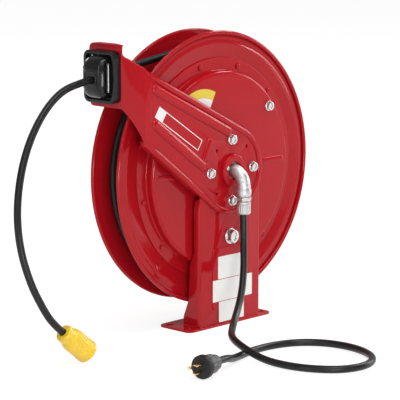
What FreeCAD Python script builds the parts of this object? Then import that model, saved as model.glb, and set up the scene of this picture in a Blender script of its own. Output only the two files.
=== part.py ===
"""Spring-driven extension cord reel, as a parametric document.

X runs along the discs, Y is the spool axis from the hub side (minus) to the back, Z is up.
The origin is the centre of the base plate's slot pattern, at the face that rests on the bench.
Lengths are millimetres and angles are degrees.
"""
import FreeCAD, Part
import math
import operator
import os
import Sketcher
from FreeCAD import Placement, Rotation, Vector

# Driving dimensions, one cell each
DRIVING = {
    # Stand
    "axis_height": 248.0, "base_length": 192.0, "base_depth": 70.0, "base_sheet": 3.5,
    "base_corner": 12.0, "slot_pitch_long": 168.0, "slot_pitch_deep": 40.0, "slot_long": 14.0,
    "slot_wide": 8.6, "stand_sheet": 3.0, "stand_width": 142.0, "stand_front": 31.0,
    "stand_shoulder": 190.0, "stand_top_radius": 60.0, "stand_bend": 5.0,
    "foot_depth": 34.0, "shin_depth": 23.0, "neck_depth": 11.0,
    "panel_width": 82.0, "panel_low": 26.0, "panel_high": 126.0, "panel_raise": 1.4,
    # Guide arm
    "arm_sheet": 3.0, "arm_hub_radius": 70.0, "arm_flange": 12.0, "arm_reach": 190.0,
    "arm_top_rise": 174.0, "arm_low_rise": 57.0, "joggle_out": 22.0, "joggle_back": 29.0,
    "end_low_rise": 114.0, "end_top_rise": 210.0, "end_depth": 69.0, "end_flange": 14.0,
    "rib_width": 11.0, "rib_raise": 2.0, "arm_screw_circle": 97.0, "arm_screw_radius": 4.0,
    "hex_across": 13.0, "hex_height": 5.3, "washer_radius": 8.2, "washer_thick": 1.4,
    # Shaft, collar, elbow and cord grip
    "shaft_radius": 16.0, "shaft_bore": 8.0, "shaft_flange": 58.0, "shaft_flange_thick": 6.0,
    "collar_radius": 25.5, "collar_bore": 14.5, "collar_height": 8.0, "elbow_radius": 10.8,
    "elbow_bend": 24.0, "elbow_stand_off": 26.0, "elbow_foot": 38.0, "bead_height": 8.0,
    "grip_body_height": 13.0, "grip_nut_height": 16.0, "grip_radius": 11.2,
    # Latch
    "pawl_drop": 106.0, "pawl_pin_radius": 6.0, "pawl_length": 52.0, "pawl_width": 9.0,
    "pawl_hub_radius": 11.0, "pawl_rest_tilt": 65.0, "ratchet_radius": 64.0,
    "ratchet_bore": 38.0, "ratchet_thick": 4.5, "notch_depth": 8.0, "notch_width": 26.0,
    "big_hex_across": 19.0, "big_hex_height": 8.0, "big_washer_radius": 12.5,
    # Spool
    "spool_mid": 29.0, "spool_width": 50.0, "disc_radius": 217.0, "disc_sheet": 1.8,
    "bead_radius": 3.2, "drum_radius": 140.0, "drum_sheet": 2.0, "case_radius": 155.0,
    "case_flange": 175.0, "case_height": 14.6, "case_sheet": 1.6, "case_screw_circle": 330.0,
    "case_screw_head": 4.0, "anchor_bolt_circle": 282.0, "hub_tube": 29.0, "hub_length": 14.0,
    "hub_flange": 50.0, "bush_radius": 23.0, "run_clear": 0.05, "tie_inset": 12.0,
    "cap_radius": 42.0, "cap_height": 14.0, "spring_strip": 1.2, "seat_gap": 0.3,
    "arbor_radius": 25.0, "dart_start": 98.0, "dart_length": 42.0, "dart_raise": 1.3,
    # Cords
    "cord_diameter": 11.2, "layer_radius": 181.6, "wrap_radius": 193.6, "cord_pitch": 12.0,
    # Roller guide
    "guide_rise": 161.0, "bezel_wide": 66.0, "bezel_tall": 79.0, "bezel_deep": 14.0,
    "bezel_wall": 5.0, "bezel_corner": 11.0, "bezel_back": 4.0, "nose_wide": 48.0,
    "nose_tall": 60.0, "nose_out": 29.5, "nose_corner": 12.0, "jaw_gap": 46.0,
    "ear_thick": 5.0, "flat_roller": 6.5, "flat_rise": 13.8, "flat_out": 23.5,
    "side_roller": 6.0, "side_spread": 16.0, "side_out": 10.5, "roller_pin": 2.5,
    "roller_gap": 0.4,
    # Plug and connector
    "plug_radius": 18.0, "plug_length": 40.0, "connector_radius": 18.0,
    "connector_length": 58.0,
}

SIGNS = {"+": operator.add, "-": operator.sub, "*": operator.mul, "/": operator.truediv}


class Size:
    """A length that holds its number and the sheet expression that gives it."""

    def __init__(self, value, text):
        self.value = float(value)
        self.text = text

    def __float__(self):
        return self.value

    def __add__(self, other):
        return combine(self, "+", other)

    def __radd__(self, other):
        return combine(other, "+", self)

    def __sub__(self, other):
        return combine(self, "-", other)

    def __rsub__(self, other):
        return combine(other, "-", self)

    def __mul__(self, other):
        return combine(self, "*", other)

    def __rmul__(self, other):
        return combine(other, "*", self)

    def __truediv__(self, other):
        return combine(self, "/", other)

    def __neg__(self):
        return combine(0, "-", self)


def as_size(item):
    """A plain number as a Size; a Size stays as it is."""
    if isinstance(item, Size):
        return item
    return Size(item, "({:.6f})".format(float(item)))


def combine(left, sign, right):
    """Two sizes joined by an arithmetic sign, in numbers and in text alike."""
    first = as_size(left)
    second = as_size(right)
    value = SIGNS[sign](first.value, second.value)
    return Size(value, "({} {} {})".format(first.text, sign, second.text))


doc = FreeCAD.newDocument("cord_reel")
sheet = doc.addObject("Spreadsheet::Sheet", "Sizes")
S = {}
for row, (alias, number) in enumerate(DRIVING.items(), start=1):
    sheet.set("A{}".format(row), alias)
    sheet.set("B{}".format(row), str(number))
    sheet.setAlias("B{}".format(row), alias)
    S[alias] = Size(number, "Sizes." + alias)
doc.recompute()

SUB_PARTS = []
ANCHOR_DEGREES = 39.5
ANCHOR_SHANK = 4
DART_WIDTH = 9
NOTCHES = 8
NOTCH_DEGREES = -109
LOW_SWEEP = 4
TOP_DROP = 10
SMALL_SHANK = 2.2
SPARE_HOLE = 2.6
END_CORNER = 9

ALONG_X = Rotation(Vector(0, 1, 0), 90)
ALONG_Y = Rotation(Vector(1, 0, 0), -90)
ALONG_Z = Rotation()
DOWN = Rotation(Vector(1, 0, 0), 180)

# Places worked out from the driving dimensions
axis_z = S["axis_height"]
near_inner = S["spool_mid"] - S["spool_width"] / 2
far_inner = S["spool_mid"] + S["spool_width"] / 2
near_front = near_inner - S["disc_sheet"]
far_back = far_inner + S["disc_sheet"]
case_front = near_front - S["case_height"] - S["case_sheet"]
stand_front = -S["stand_front"]
stand_back = stand_front + S["stand_sheet"]
arm_front = stand_front - S["arm_sheet"]
collar_front = arm_front - S["collar_height"]
pawl_z = axis_z - S["pawl_drop"]
cord_radius = S["cord_diameter"] / 2
elbow_bore = cord_radius + S["seat_gap"]
guide_z = axis_z + S["guide_rise"]
guide_y = S["spool_mid"]
end_front = -(S["arm_reach"] + S["joggle_out"])
end_near = arm_front + S["joggle_back"]
guide_front = end_front - S["bezel_deep"]
elbow_y = arm_front - S["elbow_stand_off"]
elbow_foot_z = axis_z - S["elbow_foot"]
lead_top = elbow_foot_z - S["grip_body_height"]
grip_low = lead_top - S["grip_nut_height"]


def bind(item, prop, size):
    """Tie one property of an object to the sheet."""
    item.setExpression(prop, as_size(size).text)


def place(item, base, rotation=ALONG_Z):
    """Turn an object and tie the place of its origin to the sheet."""
    item.Placement = Placement(Vector(), rotation)
    for letter, size in zip("xyz", base):
        bind(item, "Placement.Base." + letter, size)
    return item


def keep(item, label):
    """Name a finished sub-part and put it on the list to write."""
    item.Label = label
    SUB_PARTS.append(item)
    return item


def cylinder(radius, height, base, rotation=ALONG_Z):
    """A round bar whose axis starts at base."""
    item = doc.addObject("Part::Cylinder", "Bar")
    bind(item, "Radius", radius)
    bind(item, "Height", height)
    return place(item, base, rotation)


def hexagon(across_flats, height, base, rotation=ALONG_Z):
    """A six-sided bar given by its size across flats."""
    item = doc.addObject("Part::Prism", "Hex")
    item.Polygon = 6
    bind(item, "Circumradius", as_size(across_flats) / math.sqrt(3))
    bind(item, "Height", height)
    return place(item, base, rotation)


def box(long, deep, high, base, rotation=ALONG_Z):
    """A block with one corner at base."""
    item = doc.addObject("Part::Box", "Block")
    bind(item, "Length", long)
    bind(item, "Width", deep)
    bind(item, "Height", high)
    return place(item, base, rotation)


def fuse(items):
    """One solid out of several that touch or overlap."""
    item = doc.addObject("Part::MultiFuse", "Joined")
    item.Shapes = items
    item.Refine = True
    return item


def cut(base, tools):
    """A solid with all the tools taken out of it."""
    result = base
    for tool in tools:
        item = doc.addObject("Part::Cut", "Cut")
        item.Base = result
        item.Tool = tool
        result = item
    return result


def common(items):
    """What all the solids share."""
    item = doc.addObject("Part::MultiCommon", "Shared")
    item.Shapes = items
    return item


def group(items, label):
    """Several separate solids under one name."""
    item = doc.addObject("Part::Compound", "Group")
    item.Links = items
    return keep(item, label)


def point(pair):
    """A sketch point from two sizes or numbers."""
    return Vector(float(pair[0]), float(pair[1]), 0)


def draw(sketch, outline):
    """Draw a closed outline; an entry of two points is an arc through the first to the second."""
    first = sketch.GeometryCount
    here = point(outline[0])
    start = here
    for step in outline[1:] + [outline[0]]:
        if isinstance(step[0], tuple):
            middle = point(step[0])
            there = point(step[1])
            sketch.addGeometry(Part.Arc(here, middle, there), False)
            here = there
            continue
        there = point(step)
        if here.distanceToPoint(there) > 1e-6:
            sketch.addGeometry(Part.LineSegment(here, there), False)
            here = there
    if here.distanceToPoint(start) > 1e-6:
        sketch.addGeometry(Part.LineSegment(here, start), False)
    last = sketch.GeometryCount - 1
    for index in range(first, last + 1):
        following = first if index == last else index + 1
        ends = [(index, pos, sketch.getPoint(index, pos)) for pos in (1, 2)]
        others = [(following, pos, sketch.getPoint(following, pos)) for pos in (1, 2)]
        for _, near_pos, near_point in ends:
            for _, far_pos, far_point in others:
                if near_point.distanceToPoint(far_point) < 1e-6:
                    sketch.addConstraint(Sketcher.Constraint(
                        "Coincident", index, near_pos, following, far_pos))


def origin_plane(body, role):
    """One of a body's own origin planes."""
    for feature in body.Origin.OriginFeatures:
        if feature.Role == role:
            return feature
    raise ValueError("no plane " + role)


def body_sketch(body, role, outlines):
    """A sketch with one or more closed outlines on an origin plane of the body."""
    sketch = body.newObject("Sketcher::SketchObject", "Sketch")
    sketch.AttachmentSupport = [(origin_plane(body, role), "")]
    sketch.MapMode = "FlatFace"
    for outline in outlines:
        draw(sketch, outline)
    return sketch


def turned(outlines):
    """A body turned about the spool axis from outlines of (radius, y)."""
    body = doc.addObject("PartDesign::Body", "Turned")
    sketch = body_sketch(body, "XZ_Plane", outlines)
    feature = body.newObject("PartDesign::Revolution", "Revolution")
    feature.Profile = sketch
    feature.ReferenceAxis = (sketch, ["V_Axis"])
    feature.Angle = 360
    return place(body, (0, 0, axis_z), ALONG_Y)


def free_sketch(outlines, rotation, base=(0, 0, 0)):
    """A sketch outside any body, for extrusions and offsets."""
    sketch = doc.addObject("Sketcher::SketchObject", "Outline")
    for outline in outlines:
        draw(sketch, outline)
    return place(sketch, base, rotation)


def extruded(source, direction, length):
    """A sketch or an offset of one, drawn out along a direction."""
    item = doc.addObject("Part::Extrusion", "Drawn")
    item.Base = source
    item.DirMode = "Custom"
    item.Dir = direction
    item.Solid = True
    bind(item, "LengthFwd", length)
    return item


def inset(source, size):
    """An outline moved inwards by a size."""
    item = doc.addObject("Part::Offset2D", "Inset")
    item.Source = source
    item.Join = 0
    bind(item, "Value", -as_size(size))
    return item


def rounded(low, high, corner):
    """A rectangle outline with round corners, from its low and high corners."""
    x0, y0 = float(low[0]), float(low[1])
    x1, y1 = float(high[0]), float(high[1])
    r = min(float(corner), (x1 - x0) / 2.01, (y1 - y0) / 2.01)
    q = r * (1 - math.sqrt(0.5))
    return [(x0 + r, y0), (x1 - r, y0), ((x1 - q, y0 + q), (x1, y0 + r)),
            (x1, y1 - r), ((x1 - q, y1 - q), (x1 - r, y1)),
            (x0 + r, y1), ((x0 + q, y1 - q), (x0, y1 - r)),
            (x0, y0 + r), ((x0 + q, y0 + q), (x0 + r, y0))]


def slot_outline(first, second, width):
    """A long hole from the centre of one round end to the other."""
    a = point(first)
    b = point(second)
    r = float(width) / 2
    run = (b - a).normalize()
    side = Vector(-run.y, run.x, 0)
    corners = [a + side * r, b + side * r, b + run * r, b - side * r, a - side * r, a - run * r]
    pairs = [(corner.x, corner.y) for corner in corners]
    return [pairs[0], pairs[1], (pairs[2], pairs[3]), pairs[4], (pairs[5], pairs[0])]


def tangent_point(outside, radius, upper):
    """Where a line from a point outside touches a circle about the origin."""
    distance = math.hypot(float(outside[0]), float(outside[1]))
    bearing = math.atan2(float(outside[1]), float(outside[0]))
    spread = math.acos(float(radius) / distance)
    angle = bearing - spread if upper else bearing + spread
    return (float(radius) * math.cos(angle), float(radius) * math.sin(angle))


def polar(radius, degrees):
    """A place on a circle in the XZ plane about the spool axis, as x and z."""
    turn = math.radians(degrees)
    return as_size(radius) * math.cos(turn), axis_z + as_size(radius) * math.sin(turn)


XZ = Rotation(Vector(1, 0, 0), 90)
YZ = Rotation(Vector(1, 1, 1), 120)
BACKWARD = Vector(0, 1, 0)
RIGHTWARD = Vector(1, 0, 0)
UPWARD = Vector(0, 0, 1)


def hex_screw(x, y, z, across, height, washer, thick, shank, length):
    """A hex head screw with its washer; the head looks towards the hub side from y."""
    parts = [
        cylinder(washer, thick, (x, y - thick, z), ALONG_Y),
        hexagon(across, height, (x, y - thick - height, z), ALONG_Y),
        cylinder(shank, length, (x, y, z), ALONG_Y),
    ]
    return fuse(parts)


# Base plate
def make_base_plate():
    """The flat plate with four long holes for bench bolts."""
    body = doc.addObject("PartDesign::Body", "Base")
    half_long = S["base_length"] / 2
    half_deep = S["base_depth"] / 2
    outline = rounded((-half_long, -half_deep), (half_long, half_deep), S["base_corner"])
    pad = body.newObject("PartDesign::Pad", "Plate")
    pad.Profile = body_sketch(body, "XY_Plane", [outline])
    bind(pad, "Length", S["base_sheet"])
    doc.recompute()
    reach = (S["slot_long"] - S["slot_wide"]) / 2
    slots = []
    for side in (-1, 1):
        for row in (-1, 1):
            x = S["slot_pitch_long"] / 2 * side
            y = S["slot_pitch_deep"] / 2 * row
            slots.append(slot_outline((x - reach, y), (x + reach, y), S["slot_wide"]))
    pocket = body.newObject("PartDesign::Pocket", "Slots")
    pocket.Profile = body_sketch(body, "XY_Plane", slots)
    pocket.Type = "ThroughAll"
    pocket.Reversed = True
    return keep(place(body, (0, 0, 0)), "base_plate")


# Pedestal
def make_pedestal():
    """The formed channel that stands on the base and carries the shaft."""
    half = S["stand_width"] / 2
    sheet_thick = S["stand_sheet"]
    bend = S["stand_bend"]
    deep = stand_front + S["foot_depth"]
    outer = rounded((-half, stand_front), (half, stand_front + S["foot_depth"] * 2), bend)
    inner = rounded((-half + sheet_thick, stand_back),
                    (half - sheet_thick, stand_front + S["foot_depth"] * 3), bend - sheet_thick)
    top = S["axis_height"] + S["stand_top_radius"]
    height = top - S["base_sheet"]
    channel = cut(
        extruded(free_sketch([outer], ALONG_Z, (0, 0, S["base_sheet"])), UPWARD, height),
        [extruded(free_sketch([inner], ALONG_Z, (0, 0, 0)), UPWARD, top + 1)])
    shoulder = (float(half), float(S["stand_shoulder"] - axis_z))
    touch = tangent_point(shoulder, S["stand_top_radius"], False)
    low = float(S["base_sheet"] - axis_z)
    face = [(-half, low), (half, low), shoulder, touch,
            ((0, S["stand_top_radius"]), (-touch[0], touch[1])), (-shoulder[0], shoulder[1])]
    front_mask = extruded(
        free_sketch([face], XZ, (0, stand_front - 1, axis_z)), BACKWARD, S["foot_depth"] + 2)
    neck = stand_front + S["neck_depth"]
    shin = stand_front + S["shin_depth"]
    knee_z = S["base_sheet"] + 42
    neck_z = S["stand_shoulder"] - 66
    side = [(stand_front - 1, 0), (deep, 0), (deep, S["base_sheet"] + 14), (shin, knee_z),
            (shin - 3, neck_z - 22), (neck, neck_z), (neck, top + 1), (stand_front - 1, top + 1)]
    side_mask = extruded(
        free_sketch([side], YZ, (-S["stand_width"], 0, 0)), RIGHTWARD, S["stand_width"] * 2)
    formed = common([channel, front_mask, side_mask])
    panel_half = S["panel_width"] / 2
    panel = rounded((-panel_half, S["panel_low"]), (panel_half, S["panel_high"]), 8)
    panel_sketch = free_sketch([panel], XZ, (0, stand_front - S["panel_raise"], 0))
    panel_proud = extruded(panel_sketch, BACKWARD, S["panel_raise"] + 1)
    panel_back = extruded(
        free_sketch([rounded((-panel_half + sheet_thick, S["panel_low"] + sheet_thick),
                             (panel_half - sheet_thick, S["panel_high"] - sheet_thick), 6)],
                    XZ, (0, stand_back - S["panel_raise"], 0)), BACKWARD, S["panel_raise"] + 1)
    plate = cut(fuse([formed, panel_proud]), [panel_back])
    through = S["stand_sheet"] + 4
    holes = [
        cylinder(S["shaft_radius"] + 1, through, (0, stand_front - 2, axis_z), ALONG_Y),
        cylinder(S["pawl_pin_radius"], through, (0, stand_front - 2, pawl_z), ALONG_Y),
    ]
    for degrees in (0, 90, 180, 270):
        x, z = polar(S["arm_screw_circle"] / 2, degrees)
        holes.append(cylinder(S["arm_screw_radius"], through, (x, stand_front - 2, z), ALONG_Y))
    return keep(cut(plate, holes), "pedestal")


# Guide arm
def arm_outline():
    """The arm's face about the spool axis: two straight edges that touch the round hub end."""
    top_far = (-float(S["arm_reach"]), float(S["arm_top_rise"]))
    low_far = (-float(S["arm_reach"]), float(S["arm_low_rise"]))
    radius = float(S["arm_hub_radius"])
    top_touch = tangent_point(top_far, radius, True)
    low_touch = tangent_point(low_far, radius, False)
    turn = math.radians(-30)
    nose = (radius * math.cos(turn), radius * math.sin(turn))
    return [top_far, low_far, low_touch, (nose, top_touch)]


def tray(outline, rotation, base, direction, depth, thick, open_ends):
    """A pressed face with flanges behind it; open_ends are blocks that open its ends."""
    outer_sketch = free_sketch([outline], rotation, base)
    outer = extruded(outer_sketch, direction, depth)
    inner_base = [as_size(item) for item in base]
    for index, share in enumerate((direction.x, direction.y, direction.z)):
        inner_base[index] = inner_base[index] + thick * share
    inner_sketch = free_sketch([outline], rotation, inner_base)
    inner = extruded(inset(inner_sketch, thick), direction, depth)
    return cut(outer, [inner] + open_ends)


def joggle_outline(slope):
    """The stepped part's face: a swept lower edge and an upper edge that falls from the end."""
    low = float(S["arm_low_rise"])
    end_low = float(S["end_low_rise"])
    top = float(S["arm_top_rise"])
    end_top = float(S["end_top_rise"])
    low_mid = (slope / 2 - LOW_SWEEP * 0.8, (low + end_low) / 2 + LOW_SWEEP * 0.6)
    fillet_mid = (slope - TOP_DROP * 0.22, end_top - TOP_DROP * 1.65)
    fillet_end = (slope - TOP_DROP * 0.85, end_top - TOP_DROP * 2.05)
    return [(0, low), (low_mid, (slope, end_low)), (slope, end_top - TOP_DROP),
            (fillet_mid, fillet_end), (0, top)]


def joggle_room(slope, thick):
    """What is hollow behind the stepped part's face, open towards the arm and the end."""
    lip = thick * 1.25
    low = float(S["arm_low_rise"])
    end_low = float(S["end_low_rise"])
    top = float(S["arm_top_rise"])
    end_top = float(S["end_top_rise"])
    far = slope + thick * 2
    climb = (end_top - TOP_DROP * 2.05 - top) / (slope - TOP_DROP * 0.85)
    low_mid = (slope / 2 - LOW_SWEEP * 0.8 - 1, (low + end_low) / 2 + LOW_SWEEP * 0.6 + lip + 1)
    return [(-thick, low + lip - 5), (low_mid, (far, end_low + lip + 6)),
            (far, top - lip * 1.3 + climb * far), (-thick, top - lip * 1.3 - climb * thick)]


def make_guide_arm():
    """The pressed arm from the hub to the roller guide, with its ribs and its stepped end."""
    thick = S["arm_sheet"]
    reach = S["arm_reach"]
    low_z = axis_z + S["arm_low_rise"]
    top_z = axis_z + S["arm_top_rise"]
    open_end = box(thick * 2, S["arm_flange"], top_z - low_z - thick * 2 - 7,
                   (-reach - thick, arm_front + thick, low_z + thick + 5))
    face = tray(arm_outline(), XZ, (0, arm_front, axis_z), BACKWARD, S["arm_flange"], thick,
                [open_end])
    slope = math.hypot(float(S["joggle_out"]), float(S["joggle_back"]))
    slope_size = Size(slope, "(({} * {} + {} * {}) ^ 0.5)".format(
        S["joggle_out"].text, S["joggle_out"].text, S["joggle_back"].text, S["joggle_back"].text))
    along = Vector(-float(S["joggle_out"]), float(S["joggle_back"]), 0) * (1 / slope)
    inward = Vector(along.y, -along.x, 0)
    turn = math.degrees(math.atan2(along.y, along.x))
    joggle_turn = Rotation(Vector(0, 0, 1), turn).multiply(XZ)
    joggle_outer = extruded(free_sketch([joggle_outline(slope)], joggle_turn,
                                        (-reach, arm_front, axis_z)),
                            inward, S["arm_flange"] - 2)
    joggle_hollow = joggle_room(slope, float(thick))
    hollow_base = (-reach + thick * inward.x, arm_front + thick * inward.y, axis_z)
    joggle_inner = extruded(free_sketch([joggle_hollow], joggle_turn, hollow_base), inward,
                            S["arm_flange"])
    joggle_tray = cut(joggle_outer, [joggle_inner])
    end_far = end_near + S["end_depth"]
    end_face = rounded((end_near - S["end_flange"], S["end_low_rise"]),
                       (end_far, S["end_top_rise"]), END_CORNER)
    end_trim = box(S["end_flange"] * 3, S["joggle_back"], S["end_top_rise"],
                   (end_front - S["end_flange"], end_near - S["joggle_back"], axis_z + 50))
    end_tray = tray(end_face, YZ, (end_front, 0, axis_z), RIGHTWARD, S["end_flange"], thick,
                    [end_trim])
    end_open = box(S["end_flange"], thick * 3, S["end_top_rise"] - S["end_low_rise"] - thick * 4,
                   (end_front + thick, end_near - thick, axis_z + S["end_low_rise"] + thick * 2))
    end_tray = cut(end_tray, [end_open])
    ribs = []
    for outline in rib_outlines():
        ribs.append(extruded(free_sketch([outline], XZ, (0, arm_front - S["rib_raise"], axis_z)),
                             BACKWARD, S["rib_raise"] + 1))
    joined = fuse([face, joggle_tray, end_tray] + ribs)
    passage = S["stand_width"] + 3
    notch_top = axis_z - S["arm_hub_radius"] / 4
    stand_room = box(passage, S["arm_flange"], S["arm_hub_radius"],
                     (-passage / 2, stand_front, notch_top - S["arm_hub_radius"]))
    through = thick + 4
    holes = [stand_room,
             cylinder(S["shaft_radius"] + 1, through, (0, arm_front - 2, axis_z), ALONG_Y)]
    for degrees in (0, 90, 180, 270):
        x, z = polar(S["arm_screw_circle"] / 2, degrees)
        holes.append(cylinder(S["arm_screw_radius"], through, (x, arm_front - 2, z), ALONG_Y))
    for degrees in (45, 135, 225):
        x, z = polar(S["arm_screw_circle"] / 2, degrees)
        holes.append(cylinder(SPARE_HOLE, thick + 2, (x, arm_front - 1, z), ALONG_Y))
    window = rounded((guide_y - 17, guide_z - 20), (guide_y + 17, guide_z + 20), 5)
    holes.append(extruded(free_sketch([window], YZ, (end_front - 2, 0, 0)), RIGHTWARD, through))
    for y, z in guide_screw_places():
        holes.append(cylinder(SMALL_SHANK, through, (end_front - 2, y, z), ALONG_X))
    return keep(cut(joined, holes), "guide_arm")


def rib_outlines():
    """The two long ribs and the short cross rib that are pressed into the arm."""
    width = float(S["rib_width"])
    return [slot_outline((-168, 142), (-8, 62), width),
            slot_outline((-168, 88), (-66, 14), width),
            slot_outline((-50, 50), (-62, 24), width - 3)]


def guide_screw_places():
    """The four screws at the corners of the guide's bezel, as y and z."""
    across = S["bezel_wide"] / 2 - S["bezel_wall"] - 4.5
    up = S["bezel_tall"] / 2 - S["bezel_wall"] - 4.5
    return [(guide_y + across * side, guide_z + up * row) for side in (-1, 1) for row in (-1, 1)]


# Hub: shaft, collar, elbow and cord grip
def make_shaft():
    """The fixed hollow shaft with the flange that the arm screws pull against."""
    r = S["shaft_radius"]
    bore = S["shaft_bore"]
    flange = S["shaft_flange"]
    flange_back = stand_back + S["shaft_flange_thick"]
    end = far_back + 10
    blind = S["spool_mid"] + 6
    groove = far_back + 4.5
    outline = [(bore, arm_front), (r, arm_front), (r, stand_back), (flange, stand_back),
               (flange, flange_back), (r, flange_back), (r, groove), (r - 1.2, groove),
               (r - 1.2, groove + 2), (r, groove + 2), (r, end), (0, end), (0, blind),
               (bore, blind)]
    holes = []
    for degrees in (0, 90, 180, 270):
        x, z = polar(S["arm_screw_circle"] / 2, degrees)
        holes.append(cylinder(S["arm_screw_radius"], S["shaft_flange_thick"] + 2,
                              (x, stand_back - 1, z), ALONG_Y))
    keep(cut(turned([outline]), holes), "main_shaft")
    ring = turned([[(r - 1.2, groove + 0.2), (r + 4, groove + 0.2), (r + 4, groove + 1.8),
                    (r - 1.2, groove + 1.8)]])
    keep(ring, "shaft_retaining_ring")


def make_collar():
    """The red raised collar round the elbow, and the small zinc screw in its face."""
    r = S["collar_radius"]
    outline = [(S["collar_bore"], collar_front), (r - 3, collar_front),
               ((r - 0.9, collar_front + 0.9), (r, collar_front + 3)),
               (r, arm_front), (S["collar_bore"], arm_front)]
    x, z = polar(S["collar_radius"] - 7.5, 163)
    seat = cylinder(2.0, 4, (x, collar_front, z), ALONG_Y)
    keep(cut(turned([outline]), [seat]), "hub_collar")
    screw = fuse([cylinder(3.1, 1.6, (x, collar_front - 1.6, z), ALONG_Y),
                  cylinder(2.0, 4, (x, collar_front, z), ALONG_Y)])
    keep(screw, "collar_screw")


def elbow_path(start_y, end_z):
    """The centre line through the elbow, from a place on the axis to one under the bend."""
    bend = float(S["elbow_bend"])
    y = float(elbow_y)
    z = float(axis_z)
    corner = bend * (1 - math.sqrt(0.5))
    first = Vector(0, y + bend, z)
    middle = Vector(0, y + corner, z - corner)
    last = Vector(0, y, z - bend)
    return Part.Wire([Part.LineSegment(Vector(0, start_y, z), first).toShape(),
                      Part.Arc(first, middle, last).toShape(),
                      Part.LineSegment(last, Vector(0, y, end_z)).toShape()])


def swept(path, radius):
    """A round bar along a wire."""
    start = path.OrderedVertexes[0].Point
    edge = path.OrderedEdges[0]
    tangent = edge.tangentAt(edge.FirstParameter)
    if edge.valueAt(edge.FirstParameter).distanceToPoint(start) > 1e-6:
        tangent = edge.tangentAt(edge.LastParameter) * -1
    profile = Part.Wire([Part.Circle(start, tangent, float(radius)).toShape()])
    return path.makePipeShell([profile], True, False)


def feature(shape, label):
    """A finished shape as an object of the document."""
    item = doc.addObject("Part::Feature", "Shape")
    item.Shape = shape
    item.Placement = Placement()
    return keep(item, label)


def make_elbow():
    """The galvanized elbow, and the lead that runs on through it to the slip rings."""
    foot = float(elbow_foot_z)
    start = float(arm_front)
    outer = swept(elbow_path(start, foot), S["elbow_radius"])
    inner = swept(elbow_path(start, foot), elbow_bore)
    bead_low = foot + 1.5
    bead = Part.makeCylinder(float(S["elbow_radius"]) + 1.3, float(S["bead_height"]),
                             Vector(0, float(elbow_y), bead_low))
    feature(outer.fuse(bead).cut(inner).removeSplitter(), "elbow")
    lead_end = float(S["spool_mid"]) + 2
    feature(swept(elbow_path(lead_end, float(lead_top)), cord_radius), "inner_lead")


def make_cord_grip():
    """The compression grip under the elbow: hex body, round nut and rubber gland."""
    bore = cord_radius + 2.6
    across = S["grip_radius"] * 2
    body = cut(fuse([hexagon(across, S["grip_body_height"], (0, elbow_y, lead_top)),
                     cylinder(S["grip_radius"], S["grip_body_height"], (0, elbow_y, lead_top))]),
               [cylinder(bore, S["grip_body_height"] + 2, (0, elbow_y, lead_top - 1))])
    keep(body, "cord_grip_body")
    nut = cut(cylinder(S["grip_radius"], S["grip_nut_height"], (0, elbow_y, grip_low)),
              [cylinder(bore, S["grip_nut_height"] + 2, (0, elbow_y, grip_low - 1))])
    chamfer = doc.addObject("Part::Cone", "Chamfer")
    bind(chamfer, "Radius1", S["grip_radius"] - 2)
    bind(chamfer, "Radius2", S["grip_radius"] + S["grip_nut_height"] - 2)
    bind(chamfer, "Height", S["grip_nut_height"])
    place(chamfer, (0, elbow_y, grip_low))
    keep(common([nut, chamfer]), "cord_grip_nut")
    gland_low = grip_low - 2
    gland_tall = S["grip_nut_height"] + 8
    gland = cut(cylinder(bore, gland_tall, (0, elbow_y, gland_low)),
                [cylinder(cord_radius + 0.05, gland_tall + 2, (0, elbow_y, gland_low - 1))])
    keep(gland, "cord_grip_gland")


def make_arm_screws():
    """The four hex screws that hold the arm, the pedestal and the shaft flange together."""
    length = S["arm_sheet"] + S["stand_sheet"] + S["shaft_flange_thick"]
    screws = []
    for degrees in (0, 90, 180, 270):
        x, z = polar(S["arm_screw_circle"] / 2, degrees)
        screws.append(hex_screw(x, arm_front, z, S["hex_across"], S["hex_height"],
                                S["washer_radius"], S["washer_thick"], S["arm_screw_radius"],
                                length))
    group(screws, "arm_screws")


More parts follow.
